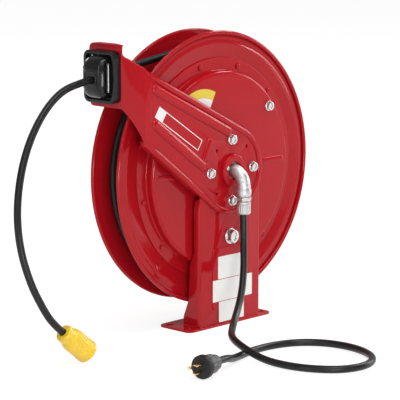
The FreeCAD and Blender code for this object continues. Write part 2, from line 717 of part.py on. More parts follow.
# Latch
def make_latch():
    """The pivot bolt, its push nut, the sprung pawl and the toothed ring on the case."""
    thick = S["ratchet_thick"]
    ring_front = case_front - thick
    pin = S["pawl_pin_radius"]
    pin_end = ring_front - 0.2
    bolt = hex_screw(0, stand_front, pawl_z, S["big_hex_across"], S["big_hex_height"],
                     S["big_washer_radius"], 2, pin, pin_end - stand_front)
    keep(bolt, "pawl_pivot_bolt")
    nut_back = pin_end
    nut_thick = 1.8
    push_nut = cut(cylinder(pin + 2.6, nut_thick, (0, nut_back - nut_thick, pawl_z), ALONG_Y),
                   [cylinder(pin, nut_thick + 2, (0, nut_back - nut_thick - 1, pawl_z),
                             ALONG_Y)])
    keep(push_nut, "pawl_push_nut")
    hub_front = stand_back + 1.4
    hub_back = case_front - S["dart_raise"] - 0.9
    pocket_front = nut_back - nut_thick - 0.2
    blade_front = ring_front + 0.2
    tilt = float(S["pawl_rest_tilt"])
    lean = Rotation(Vector(0, 1, 0), -tilt)
    half = float(S["pawl_width"]) / 2
    corner = lean.multVec(Vector(-half, 0, 0))
    blade = box(S["pawl_width"], hub_back - blade_front, S["pawl_length"],
                (corner.x, blade_front, pawl_z + corner.z), lean)
    hub = fuse([cylinder(S["pawl_hub_radius"], hub_back - hub_front, (0, hub_front, pawl_z),
                         ALONG_Y), blade])
    bores = [cylinder(pin + S["run_clear"], hub_back - hub_front + 2,
                      (0, hub_front - 1, pawl_z), ALONG_Y),
             cylinder(pin + 3, hub_back - pocket_front + 1, (0, pocket_front, pawl_z), ALONG_Y)]
    keep(cut(hub, bores), "latch_pawl")
    keep(coil_spring(), "pawl_spring")
    ring = cut(cylinder(S["ratchet_radius"], thick, (0, ring_front, axis_z), ALONG_Y),
               [cylinder(S["ratchet_bore"], thick + 2, (0, ring_front - 1, axis_z), ALONG_Y)])
    notches = []
    for count in range(NOTCHES):
        degrees = NOTCH_DEGREES + 360 / NOTCHES * count
        turn = Rotation(Vector(0, 1, 0), 90 - degrees)
        side = turn.multVec(Vector(-float(S["notch_width"]) / 2, 0, 0))
        out = turn.multVec(Vector(0, 0, 1))
        inner = S["ratchet_radius"] - S["notch_depth"]
        notches.append(box(S["notch_width"], thick + 2, S["notch_depth"] + 10,
                           (inner * out.x + side.x, ring_front - 1,
                            axis_z + inner * out.z + side.z), turn))
    keep(cut(ring, notches), "ratchet_ring")


def coil_spring():
    """The torsion spring round the pawl hub, between the pedestal and the pawl blade."""
    wire = 0.7
    radius = float(S["pawl_hub_radius"]) + 1.6
    turns = 4
    pitch = 1.7
    start_y = float(stand_back) + 1.0
    centre = Vector(0, 0, float(pawl_z))

    def helix(turn):
        angle = 2 * math.pi * turn
        spot = Vector(radius * math.cos(angle), start_y + pitch * turn, radius * math.sin(angle))
        lean = Vector(-radius * math.sin(angle), pitch / (2 * math.pi),
                      radius * math.cos(angle)).normalize()
        return centre + spot, lean

    item = doc.addObject("Part::Feature", "Spring")
    item.Shape = swept(coil_wire(helix, turns, wire * 2, wire * 2), wire)
    item.Placement = Placement()
    return item


def arc_mid(start, lean, end):
    """The middle of the arc that leaves start along lean and reaches end."""
    chord = end - start
    half = chord.Length / 2
    line = chord * (1 / chord.Length)
    side = lean - line * lean.dot(line)
    if side.Length < 1e-9:
        return None
    side.normalize()
    half_turn = math.acos(max(-1.0, min(1.0, lean.dot(line))))
    return (start + end) * 0.5 + side * (half * math.tan(half_turn / 2))


def biarc(start, start_lean, end, end_lean):
    """Two arcs that leave start and reach end along the given directions."""
    run = end - start
    both = start_lean + end_lean
    spread = 2 * (1 - start_lean.dot(end_lean))
    middle = run.dot(both)
    if spread < 1e-9:
        reach = run.dot(run) / (2 * middle)
    else:
        reach = (-middle + math.sqrt(middle * middle + spread * run.dot(run))) / spread
    joint = (start + end + (start_lean - end_lean) * reach) * 0.5
    first = Part.Arc(start, arc_mid(start, start_lean, joint), joint)
    second = Part.Arc(joint, arc_mid(end, end_lean * -1, joint), end)
    return [first.toShape(), second.toShape()]


def coil_wire(place_at, turns, lead_in, lead_out, steps_a_turn=4):
    """A coil's centre line as biarcs, with a straight run of its own length at each end."""
    count = max(1, int(round(turns * steps_a_turn)))
    spots = [place_at(turns * step / count) for step in range(count + 1)]
    edges = []
    first, lean = spots[0]
    edges.append(Part.LineSegment(first - lean * lead_in, first).toShape())
    for (start, start_lean), (end, end_lean) in zip(spots[:-1], spots[1:]):
        edges += biarc(start, start_lean, end, end_lean)
    last, lean = spots[-1]
    edges.append(Part.LineSegment(last, last + lean * lead_out).toShape())
    return Part.Wire(edges)


# Spool
def disc_outline(face, side):
    """One disc's half section: flat sheet from the hub to the rolled bead at the rim."""
    rim = S["disc_radius"]
    r = S["bead_radius"]
    outside = face + S["disc_sheet"] * side
    centre_r = rim - r
    centre_y = face + r * side
    drop = float(r - S["disc_sheet"])
    meet_r = centre_r - math.sqrt(float(r) ** 2 - drop ** 2)
    return [(S["hub_tube"] - 5, face), (centre_r, face), ((rim, centre_y),
                                                        (centre_r, centre_y + r * side)),
            ((centre_r - r * math.sqrt(0.5), centre_y + r * math.sqrt(0.5) * side),
             (meet_r, outside)), (S["hub_tube"] - 5, outside)]


def make_discs():
    """The two pressed discs, the drum between them and the hubs inside."""
    tie_holes = []
    for count in range(6):
        x, z = polar(S["drum_radius"] - S["tie_inset"], 60 * count + 30)
        tie_holes.append((x, z))
    keep(turned([disc_outline(near_inner, -1)]), "front_disc")
    holes = [cylinder(4, S["disc_sheet"] + 2, (x, far_inner - 1, z), ALONG_Y)
             for x, z in tie_holes]
    for count in range(6):
        x, z = polar(40, 60 * count)
        holes.append(cylinder(3, S["disc_sheet"] + 2, (x, far_inner - 1, z), ALONG_Y))
    keep(cut(turned([disc_outline(far_inner, 1)]), holes), "rear_disc")
    r = S["drum_radius"]
    inner = r - S["drum_sheet"]
    keep(turned([[(inner, near_inner), (r, near_inner), (r, far_inner), (inner, far_inner)]]),
         "drum")
    bolts = []
    for x, z in tie_holes:
        bolts.append(fuse([cylinder(4, S["spool_width"] + S["disc_sheet"], (x, near_inner, z),
                                    ALONG_Y),
                           cylinder(7.5, 1.4, (x, far_back, z), ALONG_Y),
                           hexagon(S["hex_across"] - 1, 4.5, (x, far_back + 1.4, z), ALONG_Y)]))
    group(bolts, "tie_bolts")


def make_hubs():
    """The hub at each side, with its bush on the shaft and the bolts that hold the rear one."""
    tube = S["hub_tube"]
    flange = S["hub_flange"]
    bush = S["bush_radius"]
    long = S["hub_length"]
    thick = 3
    bore = S["shaft_radius"] + S["run_clear"]
    keep(turned([[(bush, near_inner), (flange, near_inner), (flange, near_inner + thick),
                  (tube, near_inner + thick), (tube, near_inner + long),
                  (bush, near_inner + long)]]), "front_hub")
    rear = turned([[(bush, far_inner), (flange, far_inner), (flange, far_inner - thick),
                    (tube, far_inner - thick), (tube, far_inner - long),
                    (bush, far_inner - long)]])
    holes = []
    bolts = []
    for count in range(6):
        x, z = polar(40, 60 * count)
        holes.append(cylinder(3, thick + 2, (x, far_inner - thick - 1, z), ALONG_Y))
        bolts.append(fuse([cylinder(3, thick + S["disc_sheet"], (x, far_inner - thick, z),
                                    ALONG_Y),
                           cylinder(5, 2.4, (x, far_back, z), ALONG_Y)]))
    keep(cut(rear, holes), "rear_hub")
    group(bolts, "rear_hub_screws")
    for name, start in (("front_bush", near_inner), ("rear_bush", far_inner - long)):
        keep(turned([[(bore, start), (bush, start), (bush, start + long),
                      (bore, start + long)]]), name)


def make_spring_case():
    """The round case on the near disc, its screws, the anchor bolt and the main spring."""
    r = S["case_radius"]
    flange = S["case_flange"]
    thick = S["case_sheet"]
    bend = 5.0
    flange_front = near_front - thick
    hole = S["arbor_radius"] + 1
    small = bend - float(thick)
    k = 1 - math.sqrt(0.5)
    outline = [(hole, case_front), (r - bend, case_front),
               ((r - bend * k, case_front + bend * k), (r, case_front + bend)),
               (r, flange_front), (flange, flange_front), (flange, near_front),
               (r - thick, near_front), (r - thick, case_front + bend),
               ((r - thick - small * k, case_front + thick + small * k),
                (r - bend, case_front + thick)), (hole, case_front + thick)]
    darts = []
    for side in (0, 180):
        start = float(S["dart_start"])
        end = start + float(S["dart_length"])
        darts.append(slot_outline((start, 0), (end, 0), DART_WIDTH) if side == 0 else
                     slot_outline((-end, 0), (-start, 0), DART_WIDTH))
    ridge = S["dart_raise"]
    dart_solids = [extruded(free_sketch([dart], XZ, (0, case_front - ridge, axis_z)), BACKWARD,
                            ridge + 0.5) for dart in darts]
    case = fuse([turned([outline])] + dart_solids)
    holes = []
    screws = []
    head = S["case_screw_head"]
    for count in range(12):
        x, z = polar(S["case_screw_circle"] / 2, 30 * count + 12.5)
        holes.append(cylinder(2, thick + 2, (x, flange_front - 1, z), ALONG_Y))
        screws.append(fuse([cylinder(2, thick, (x, flange_front, z), ALONG_Y),
                            cylinder(head, 1.4, (x, flange_front - 1.4, z), ALONG_Y),
                            cylinder(head - 1.2, 1.4, (x, flange_front - 2.6, z), ALONG_Y)]))
    x, z = polar(S["anchor_bolt_circle"] / 2, ANCHOR_DEGREES)
    holes.append(cylinder(ANCHOR_SHANK, thick + 2, (x, case_front - 1, z), ALONG_Y))
    keep(cut(case, holes), "spring_case")
    group(screws, "case_screws")
    anchor = hex_screw(x, case_front, z, S["hex_across"], S["hex_height"], S["washer_radius"],
                       S["washer_thick"], ANCHOR_SHANK, S["case_height"])
    keep(anchor, "spring_anchor_bolt")
    strip = S["spring_strip"]
    start = S["arbor_radius"] + S["seat_gap"]
    turns = 9
    room = S["anchor_bolt_circle"] / 2 - ANCHOR_SHANK - S["seat_gap"] - strip - start
    keep(spiral_strip(float(start), float(room) / turns, turns, float(strip),
                      float(S["case_height"] - S["seat_gap"] * 2),
                      float(case_front + thick + S["seat_gap"])), "main_spring")
    arbor = turned([[(S["shaft_radius"], stand_back + S["shaft_flange_thick"]),
                     (S["shaft_radius"] + 5, stand_back + S["shaft_flange_thick"]),
                     (S["shaft_radius"] + 5, case_front - 1),
                     (S["arbor_radius"], case_front - 1),
                     (S["arbor_radius"], near_front - 1),
                     (S["shaft_radius"], near_front - 1)]])
    keep(arbor, "spring_arbor")


def spiral_strip(start, pitch, turns, strip, wide, front):
    """A flat coiled spring out of half circles on two centres."""
    centres = (0.0, pitch / 2)

    def edges_for(extra, flip):
        chain = []
        for half in range(turns * 2):
            radius = start + half * pitch / 2 + extra
            centre = centres[half % 2]
            sign = 1 if half % 2 == 0 else -1
            a = Vector(centre + radius * sign, 0, 0)
            b = Vector(centre, radius * sign, 0)
            c = Vector(centre - radius * sign, 0, 0)
            chain.append(Part.Arc(a, b, c).toShape())
        return chain[::-1] if flip else chain

    inner = edges_for(0.0, False)
    outer = edges_for(strip, True)
    final = start + turns * pitch
    caps = [Part.LineSegment(Vector(start, 0, 0), Vector(start + strip, 0, 0)).toShape(),
            Part.LineSegment(Vector(final, 0, 0), Vector(final + strip, 0, 0)).toShape()]
    face = Part.Face(Part.Wire(Part.__sortEdges__(inner + outer + caps)))
    solid = face.extrude(Vector(0, 0, wide))
    turn = Rotation(Vector(0, 1, 0), -ANCHOR_DEGREES).multiply(ALONG_Y)
    solid.Placement = Placement(Vector(0, front, float(axis_z)), turn)
    item = doc.addObject("Part::Feature", "Strip")
    item.Shape = solid
    return item


def make_slip_rings():
    """The fixed rings on the shaft and the brushes that turn with the spool."""
    core_r = S["shaft_radius"] + 7
    low = near_inner + S["hub_length"] + 1
    high = far_inner - S["hub_length"] - 1
    keep(turned([[(S["shaft_radius"], low), (core_r, low), (core_r, high),
                  (S["shaft_radius"], high)]]), "slip_ring_core")
    ring_r = core_r + 4
    ring_wide = 4
    step = (high - low) / 3
    rings = []
    brushes = []
    for count in range(3):
        y = low + step * (count + 0.5) - ring_wide / 2
        rings.append(turned([[(core_r, y), (ring_r, y), (ring_r, y + ring_wide),
                              (core_r, y + ring_wide)]]))
        brushes.append(box(14, ring_wide, 6, (ring_r + 0.3, y, axis_z - 3)))
    group(rings, "slip_rings")
    group(brushes, "brushes")
    block_low = ring_r + 3
    reach = S["hub_flange"] + 12
    block = box(reach - block_low, far_inner - low, 14, (block_low, low, axis_z - 7))
    hub_room = cylinder(S["hub_flange"] + 0.5, S["hub_length"] + 2,
                        (0, far_inner - S["hub_length"] - 0.5, axis_z), ALONG_Y)
    slots = [box(15, ring_wide, 6, (ring_r, low + step * (count + 0.5) - ring_wide / 2,
                                    axis_z - 3)) for count in range(3)]
    keep(cut(block, [hub_room] + slots), "brush_block")


def make_rear_cap():
    """The cap over the shaft end on the far disc, and the clamp on the cord's inner end."""
    r = S["cap_radius"] + 10
    top = far_back + S["cap_height"]
    inner = r - 2
    outline = [(r + 8, far_back), (r + 8, far_back + 2), (r, far_back + 2), (r, top - 5),
               ((r - 1.5, top - 1.5), (r - 5, top)), (0, top), (0, top - 2), (r - 5, top - 2),
               ((r - 3, top - 3), (inner, top - 5)), (inner, far_back)]
    holes = []
    screws = []
    for degrees in (90, 210, 330):
        x, z = polar(r + 4, degrees)
        holes.append(cylinder(1.5, 4, (x, far_back - 1, z), ALONG_Y))
        screws.append(fuse([cylinder(1.5, 2, (x, far_back, z), ALONG_Y),
                            cylinder(3.2, 1.8, (x, far_back + 2, z), ALONG_Y)]))
    keep(cut(turned([outline]), holes), "rear_cap")
    group(screws, "rear_cap_screws")
    x, z = polar(S["drum_radius"] - 30, 75)
    side = S["cord_diameter"] + 5
    clamp = cut(box(side * 2, side, side, (x - side, far_inner - side, z - side / 2)),
                [cylinder(cord_radius, side * 3, (x - side * 1.5, far_inner - side / 2, z),
                          ALONG_X)])
    keep(clamp, "cord_clamp")


# Cord on the spool
def make_winding():
    """The wound cord: a plain core and the outer layer as one unbroken coil."""
    inner = S["drum_radius"] + 0.2
    outer = S["layer_radius"] - cord_radius - 0.2
    low = near_inner + 0.4
    high = far_inner - 0.4
    keep(turned([[(inner, low), (outer, low), (outer, high), (inner, high)]]), "wound_core")
    turns = 3
    radius = float(S["layer_radius"])
    pitch = float(S["cord_pitch"])
    start_y = float(S["spool_mid"]) - pitch * turns / 2
    layer = on_drum(radius, pitch, start_y, 150.0, 1)
    across = float(S["cord_diameter"])
    wire = coil_wire(layer, turns, across, across)
    feature(swept(wire, cord_radius), "wound_cord")
    report_coil("wound_cord", layer, turns)


def on_drum(radius, pitch, start_y, start_degrees, way):
    """A coil about the spool axis, as a function of turns; way is 1 or -1 about the axis."""

    def spot(turn):
        angle = math.radians(start_degrees) + way * 2 * math.pi * turn
        where = Vector(radius * math.cos(angle), start_y + pitch * turn,
                       float(axis_z) + radius * math.sin(angle))
        lean = Vector(-way * radius * math.sin(angle), pitch / (2 * math.pi),
                      way * radius * math.cos(angle)).normalize()
        return where, lean

    return spot


def report_coil(label, place_at, turns):
    """Print the least gap between a coil's turns, measured on points."""
    steps = 72
    count = int(turns * steps)
    spots = [place_at(step / steps)[0] for step in range(count + 1)]
    least = min(spots[a].distanceToPoint(spots[b])
                for a in range(count + 1) for b in range(a + steps // 2, count + 1))
    print("{}: least gap between turns {:.2f} mm".format(
        label, least - float(S["cord_diameter"])))


# Free cords
def rounded_route(points):
    """A route as straight runs joined by tangent arcs, and the radius of each arc."""
    runs = [(b - a) for a, b in zip(points[:-1], points[1:])]
    edges = []
    radii = []
    here = points[0]
    for before, corner, after in zip(runs[:-1], points[1:-1], runs[1:]):
        turn = before.getAngle(after)
        shorter = min(before.Length, after.Length)
        reach = 0.45 * shorter
        radii.append(reach / math.tan(turn / 2))
        into = Vector(before).normalize()
        out = Vector(after).normalize()
        start = corner - into * reach
        end = corner + out * reach
        edges.append(Part.LineSegment(here, start).toShape())
        edges.append(Part.Arc(start, arc_mid(start, into, end), end).toShape())
        here = end
    edges.append(Part.LineSegment(here, points[-1]).toShape())
    return Part.Wire(edges), radii


def make_cord(label, points):
    """A free cord's tube, with its radii, length and volume printed."""
    wire, radii = rounded_route(points)
    shape = swept(wire, cord_radius)
    section = math.pi * float(cord_radius) ** 2
    print("{}: length {:.0f}, volume ratio {:.4f}, radii {}".format(
        label, wire.Length, shape.Volume / (section * wire.Length),
        [round(radius) for radius in radii]))
    return feature(shape, label)


def lead_route():
    """The lead from the grip down to the floor, round its loop and back to the plug."""
    y = float(elbow_y)
    top = float(lead_top)
    low = float(cord_radius) + 0.1
    plug = float(S["plug_radius"]) + 0.2
    spots = [(0, y, top), (0, y, top - 34), (-4, y - 4, 130), (-12, y - 12, 97),
             (-34, y - 28, 64), (-66, y - 47, 41), (-101, y - 70, 27.5), (-136, y - 100, 23.5),
             (-153, y - 139, 18.5), (-157, y - 182, 8.5), (-152, y - 225, low),
             (-139, y - 266, low), (-112, y - 299, low), (-71, y - 309, low),
             (-33, y - 293, low), (-9, y - 258, low), (-1, y - 215, low), (-11, y - 173, low),
             (-40, y - 142, low), (-82, y - 129, low), (-127, y - 130, low),
             (-160, y - 138, low), (-190, y - 152, 10), (-216, y - 164, plug),
             (-240, y - 168, plug)]
    return [Vector(*spot) for spot in spots]


def tail_route():
    """The tail from inside the roller guide, out in an arc and down to the connector."""
    y = float(guide_y)
    z = float(guide_z)
    spots = [(float(guide_front), y, z), (-260, y, z - 5.4), (-304, y - 2.5, z - 14),
             (-346, y - 9, z - 41), (-382, y - 17, z - 81), (-408, y - 26, z - 128),
             (-423, y - 35, z - 180), (-425, y - 44, z - 230), (-415, y - 53, z - 278),
             (-401, y - 60, z - 312), (-384, y - 65, z - 341.7), (-365, y - 67, z - 357.7)]
    return [Vector(*spot) for spot in spots]


def make_run_on():
    """The cord from the guide to the spool, and the last turn that it takes round the layer."""
    radius = float(S["wrap_radius"])
    reach = float(guide_front)
    rise = float(S["guide_rise"])
    distance = math.hypot(reach, rise)
    bearing = math.degrees(math.atan2(rise, reach))
    touch = bearing - math.degrees(math.acos(radius / distance))
    free_run = math.sqrt(distance ** 2 - radius ** 2)
    pitch = float(S["cord_pitch"])
    drift = pitch * free_run / (2 * math.pi * radius)
    wrap = on_drum(radius, -pitch, float(guide_y) - drift, touch, -1)
    turns = 0.875
    wire = coil_wire(wrap, turns, free_run, float(S["cord_diameter"]))
    feature(swept(wire, cord_radius), "cord_run_on")


# Roller guide
def make_guide():
    """The black bezel, the nose that holds the rollers, four rollers, their pins and screws."""
    wide = S["bezel_wide"] / 2
    tall = S["bezel_tall"] / 2
    wall = S["bezel_wall"]
    corner = S["bezel_corner"]
    back = end_front
    front = back - S["bezel_deep"]
    outer = extruded(free_sketch(
        [rounded((guide_y - wide, guide_z - tall), (guide_y + wide, guide_z + tall), corner)],
        YZ, (front, 0, 0)), RIGHTWARD, S["bezel_deep"])
    hollow = extruded(free_sketch(
        [rounded((guide_y - wide + wall, guide_z - tall + wall),
                 (guide_y + wide - wall, guide_z + tall - wall), corner - wall)],
        YZ, (front - 1, 0, 0)), RIGHTWARD, S["bezel_deep"] - S["bezel_back"] + 1)
    window = extruded(free_sketch(
        [rounded((guide_y - 15, guide_z - 17), (guide_y + 15, guide_z + 17), 5)],
        YZ, (front - 1, 0, 0)), RIGHTWARD, S["bezel_deep"] + 2)
    holes = [cylinder(SMALL_SHANK, S["bezel_back"] + 2, (back - S["bezel_back"] - 1, y, z),
                      ALONG_X)
             for y, z in guide_screw_places()]
    keep(cut(outer, [hollow, window] + holes), "guide_bezel")
    screws = [fuse([cylinder(SMALL_SHANK, S["bezel_back"] + S["arm_sheet"] + 2,
                             (back - S["bezel_back"], y, z), ALONG_X),
                    cylinder(3.3, 2, (back - S["bezel_back"] - 2, y, z), ALONG_X)])
              for y, z in guide_screw_places()]
    group(screws, "guide_screws")
    make_nose(back)
    make_rollers(back)


def make_nose(back):
    """The rounded nose: two jaws and two ears round the mouth."""
    nose_front = back - S["nose_out"]
    nose_back = back - S["bezel_back"]
    wide = S["nose_wide"] / 2
    tall = S["nose_tall"] / 2
    block = extruded(free_sketch(
        [rounded((guide_y - wide, guide_z - tall), (guide_y + wide, guide_z + tall),
                 S["nose_corner"])], YZ, (nose_front, 0, 0)), RIGHTWARD, nose_back - nose_front)
    r = 9.0
    k = r * (1 - math.sqrt(0.5))
    x0 = float(nose_front)
    x1 = float(nose_back) + 1
    z0 = float(guide_z - tall)
    z1 = float(guide_z + tall)
    side = [(x1, z0), (x1, z1), (x0 + r, z1), ((x0 + k, z1 - k), (x0, z1 - r)),
            (x0, z0 + r), ((x0 + k, z0 + k), (x0 + r, z0))]
    rounded_front = extruded(free_sketch([side], XZ, (0, guide_y - wide - 1, 0)), BACKWARD,
                             S["nose_wide"] + 2)
    gap = S["jaw_gap"] / 2
    ear = S["ear_thick"]
    ear_low = guide_y - wide + 2
    mouth = box(S["nose_out"] + 2, S["nose_wide"] - 4 - ear * 2, gap * 2,
                (nose_front - 1, ear_low + ear, guide_z - gap))
    behind = box(nose_back - nose_front, S["nose_wide"] + 2, gap * 2,
                 (back - S["side_out"] - S["side_roller"] - 1, guide_y - wide - 1,
                  guide_z - gap))
    cheeks = [box(S["nose_out"], 2, gap * 2, (nose_front - 1, guide_y - wide, guide_z - gap)),
              box(S["nose_out"], 2, gap * 2, (nose_front - 1, guide_y + wide - 2,
                                              guide_z - gap))]
    pin_holes = [pin(spec) for spec in roller_places(back)]
    keep(cut(common([block, rounded_front]), [mouth, behind] + cheeks + pin_holes),
         "guide_nose")


def roller_places(back):
    """Each roller's name, axis start, length, radius and direction."""
    flat_x = back - S["flat_out"]
    side_x = back - S["side_out"]
    gap = S["roller_gap"]
    flat_half = S["nose_wide"] / 2 - 2 - S["ear_thick"] - gap
    side_half = S["jaw_gap"] / 2 - gap
    return [
        ("top_roller", (flat_x, guide_y - flat_half, guide_z + S["flat_rise"]), flat_half * 2,
         S["flat_roller"], ALONG_Y),
        ("bottom_roller", (flat_x, guide_y - flat_half, guide_z - S["flat_rise"]),
         flat_half * 2, S["flat_roller"], ALONG_Y),
        ("near_roller", (side_x, guide_y - S["side_spread"], guide_z - side_half),
         side_half * 2, S["side_roller"], ALONG_Z),
        ("far_roller", (side_x, guide_y + S["side_spread"], guide_z - side_half),
         side_half * 2, S["side_roller"], ALONG_Z),
    ]


def pin(spec):
    """The pin through one roller and the walls at its ends."""
    _, (x, y, z), length, _, rotation = spec
    beyond = S["ear_thick"] + S["roller_gap"]
    if rotation is ALONG_Y:
        return cylinder(S["roller_pin"], length + beyond * 2, (x, y - beyond, z), rotation)
    return cylinder(S["roller_pin"], length + beyond * 2, (x, y, z - beyond), rotation)


def make_rollers(back):
    """Four rollers that turn freely on fixed pins."""
    pins = []
    for spec in roller_places(back):
        name, base, length, radius, rotation = spec
        bore_base = list(base)
        index = 1 if rotation is ALONG_Y else 2
        bore_base[index] = base[index] - 1
        bore = cylinder(S["roller_pin"] + S["run_clear"], length + 2, bore_base, rotation)
        keep(cut(cylinder(radius, length, base, rotation), [bore]), name)
        pins.append(pin(spec))
    group(pins, "roller_pins")


# Plug and connector
def along(base, lean):
    """A placement whose own Z runs along lean from base."""
    return Placement(base, Rotation(Vector(0, 0, 1), lean))


def stepped_body(profile):
    """A solid turned about its own Z from (radius, height) pairs."""
    pairs = [(0, profile[0][1])] + profile + [(0, profile[-1][1])]
    edges = []
    for (r0, z0), (r1, z1) in zip(pairs, pairs[1:] + pairs[:1]):
        a = Vector(r0, 0, z0)
        b = Vector(r1, 0, z1)
        if a.distanceToPoint(b) > 1e-9:
            edges.append(Part.LineSegment(a, b).toShape())
    return Part.Face(Part.Wire(edges)).revolve(Vector(), Vector(0, 0, 1), 360)


def make_connector():
    """The yellow connector on the tail: waisted body with its grip end, face and screws."""
    route = tail_route()
    lean = (route[-1] - route[-2]).normalize()
    frame = along(route[-1], lean)
    r = float(S["connector_radius"])
    long = float(S["connector_length"])
    neck = r * 0.62
    body = stepped_body([(neck, 0), (neck + 1.5, 2), (neck + 1.5, 12), (r - 3, 16),
                         (r - 3, 26), (r, 31), (r, long - 6)])
    face = stepped_body([(r, long - 6), (r, long - 1.5), (r - 1.5, long)])
    slots = [Part.makeBox(1.8, 8, 12, Vector(-7.4, -4, long - 8)),
             Part.makeBox(1.8, 8, 12, Vector(5.6, -4, long - 8)),
             Part.makeCylinder(2.6, 12, Vector(0, 9.5, long - 8))]
    for slot in slots:
        face = face.cut(slot)
        body = body.cut(slot)
    screws = []
    for side in (-1, 1):
        spot = Vector(side * (neck + 0.2), 0, 7)
        screws.append(Part.makeCylinder(2.2, 2.6, spot, Vector(side, 0, 0)))
    for screw in screws:
        body = body.cut(screw)
    for label, shape in (("connector_body", body), ("connector_face", face),
                         ("connector_screws", Part.makeCompound(screws))):
        shape.Placement = frame.multiply(shape.Placement)
        feature_at(shape, label)


def make_plug():
    """The plug on the lead: round grip, grey cap with its rim, and the blades."""
    route = lead_route()
    lean = (route[-1] - route[-2]).normalize()
    lean.z = 0
    lean.normalize()
    frame = along(route[-1], lean)
    r = float(S["plug_radius"])
    long = float(S["plug_length"])
    neck = r * 0.55
    body = stepped_body([(neck, 0), (neck + 2, 3), (neck + 2.5, 10), (r - 4, 15),
                         (r - 3, long - 14), (r - 1, long - 10)])
    cap = stepped_body([(r - 1, long - 10), (r - 0.4, long - 8), (r - 0.4, long - 1.5),
                        (r - 2, long)])
    blades = [Part.makeBox(1.6, 6.4, 20, Vector(-7.1, -3.2, long - 4)),
              Part.makeBox(1.6, 6.4, 20, Vector(5.5, -3.2, long - 4)),
              Part.makeCylinder(2.4, 22, Vector(0, 9.0, long - 4))]
    for blade in blades:
        cap = cap.cut(blade)
    for label, shape in (("plug_body", body), ("plug_cap", cap),
                         ("plug_blades", Part.makeCompound(blades))):
        shape.Placement = frame.multiply(shape.Placement)
        feature_at(shape, label)


def feature_at(shape, label):
    """A placed shape as an object of the document, with its place kept."""
    item = doc.addObject("Part::Feature", "Shape")
    item.Shape = shape
    return keep(item, label)


def check_and_write():
    """Stop on any failed object or empty shape, then write one file for each sub-part."""
    doc.recompute()
    for item in doc.Objects:
        if "Invalid" in item.State or "Error" in item.State:
            raise RuntimeError("failed: {} {} {}".format(item.Name, item.Label, item.State))
    os.makedirs("parts", exist_ok=True)
    for item in SUB_PARTS:
        shape = item.Shape
        if shape.isNull() or not shape.isValid() or not shape.Solids:
            raise RuntimeError("bad shape: " + item.Label)
        shape.exportStep("parts/{}.step".format(item.Label))
    print(len(SUB_PARTS), "sub-parts written")


make_base_plate()
make_pedestal()
make_guide_arm()
make_arm_screws()
make_shaft()
make_collar()
make_elbow()
make_cord_grip()
make_latch()
make_discs()
make_hubs()
make_spring_case()
make_slip_rings()
make_rear_cap()
make_winding()
make_guide()
make_run_on()
make_cord("tail_cord", tail_route())
make_cord("lead_cord", lead_route())
make_connector()
make_plug()
check_and_write()
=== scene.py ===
"""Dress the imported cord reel: painted sheet metal, wound cord, roller guide, plug and connector."""
import logging
import math
from dataclasses import dataclass, field
from enum import Enum
from typing import Callable, Iterable, Optional, Sequence, Union

import bmesh
import bpy
from mathutils import Matrix, Vector


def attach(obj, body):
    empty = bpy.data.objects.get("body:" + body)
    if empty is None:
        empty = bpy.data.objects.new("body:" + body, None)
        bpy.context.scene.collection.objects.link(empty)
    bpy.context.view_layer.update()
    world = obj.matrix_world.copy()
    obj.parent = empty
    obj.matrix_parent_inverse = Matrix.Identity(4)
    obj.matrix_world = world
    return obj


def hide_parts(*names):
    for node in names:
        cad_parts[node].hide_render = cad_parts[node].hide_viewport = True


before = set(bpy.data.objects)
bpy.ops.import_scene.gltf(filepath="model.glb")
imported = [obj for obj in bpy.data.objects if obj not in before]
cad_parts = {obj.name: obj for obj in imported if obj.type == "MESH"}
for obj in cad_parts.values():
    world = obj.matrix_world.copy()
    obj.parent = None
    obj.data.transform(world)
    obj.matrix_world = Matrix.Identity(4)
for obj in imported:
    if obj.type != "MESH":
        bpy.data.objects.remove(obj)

log = logging.getLogger("cord_reel")
MM = 0.001
ON_AXIS = 1e-6
Point = tuple[float, float, float]
Pair = tuple[float, float]
Colour = tuple[float, float, float]


# Shader arithmetic

class Value:
    """A shader output that takes part in arithmetic: an expression adds its Math nodes."""

    def __init__(self, shader: "Shader", output: bpy.types.NodeSocket) -> None:
        """Keep the output and the shader that it belongs to."""
        self.shader = shader
        self.output = output

    def _math(self, operation: str, first: object, second: object) -> "Value":
        """Add one Math node.

        Args:
            operation: the Math node's operation.
            first: its first value or link.
            second: its second value or link.

        Returns:
            The result as a value.
        """
        return self.shader.node("ShaderNodeMath", {"operation": operation}, {0: first, 1: second})

    def __add__(self, other: object) -> "Value":
        """This plus the other."""
        return self._math("ADD", self, other)

    def __radd__(self, other: object) -> "Value":
        """The other plus this."""
        return self._math("ADD", other, self)

    def __sub__(self, other: object) -> "Value":
        """This less the other."""
        return self._math("SUBTRACT", self, other)

    def __rsub__(self, other: object) -> "Value":
        """The other less this."""
        return self._math("SUBTRACT", other, self)

    def __mul__(self, other: object) -> "Value":
        """This times the other."""
        return self._math("MULTIPLY", self, other)

    def __rmul__(self, other: object) -> "Value":
        """The other times this."""
        return self._math("MULTIPLY", other, self)


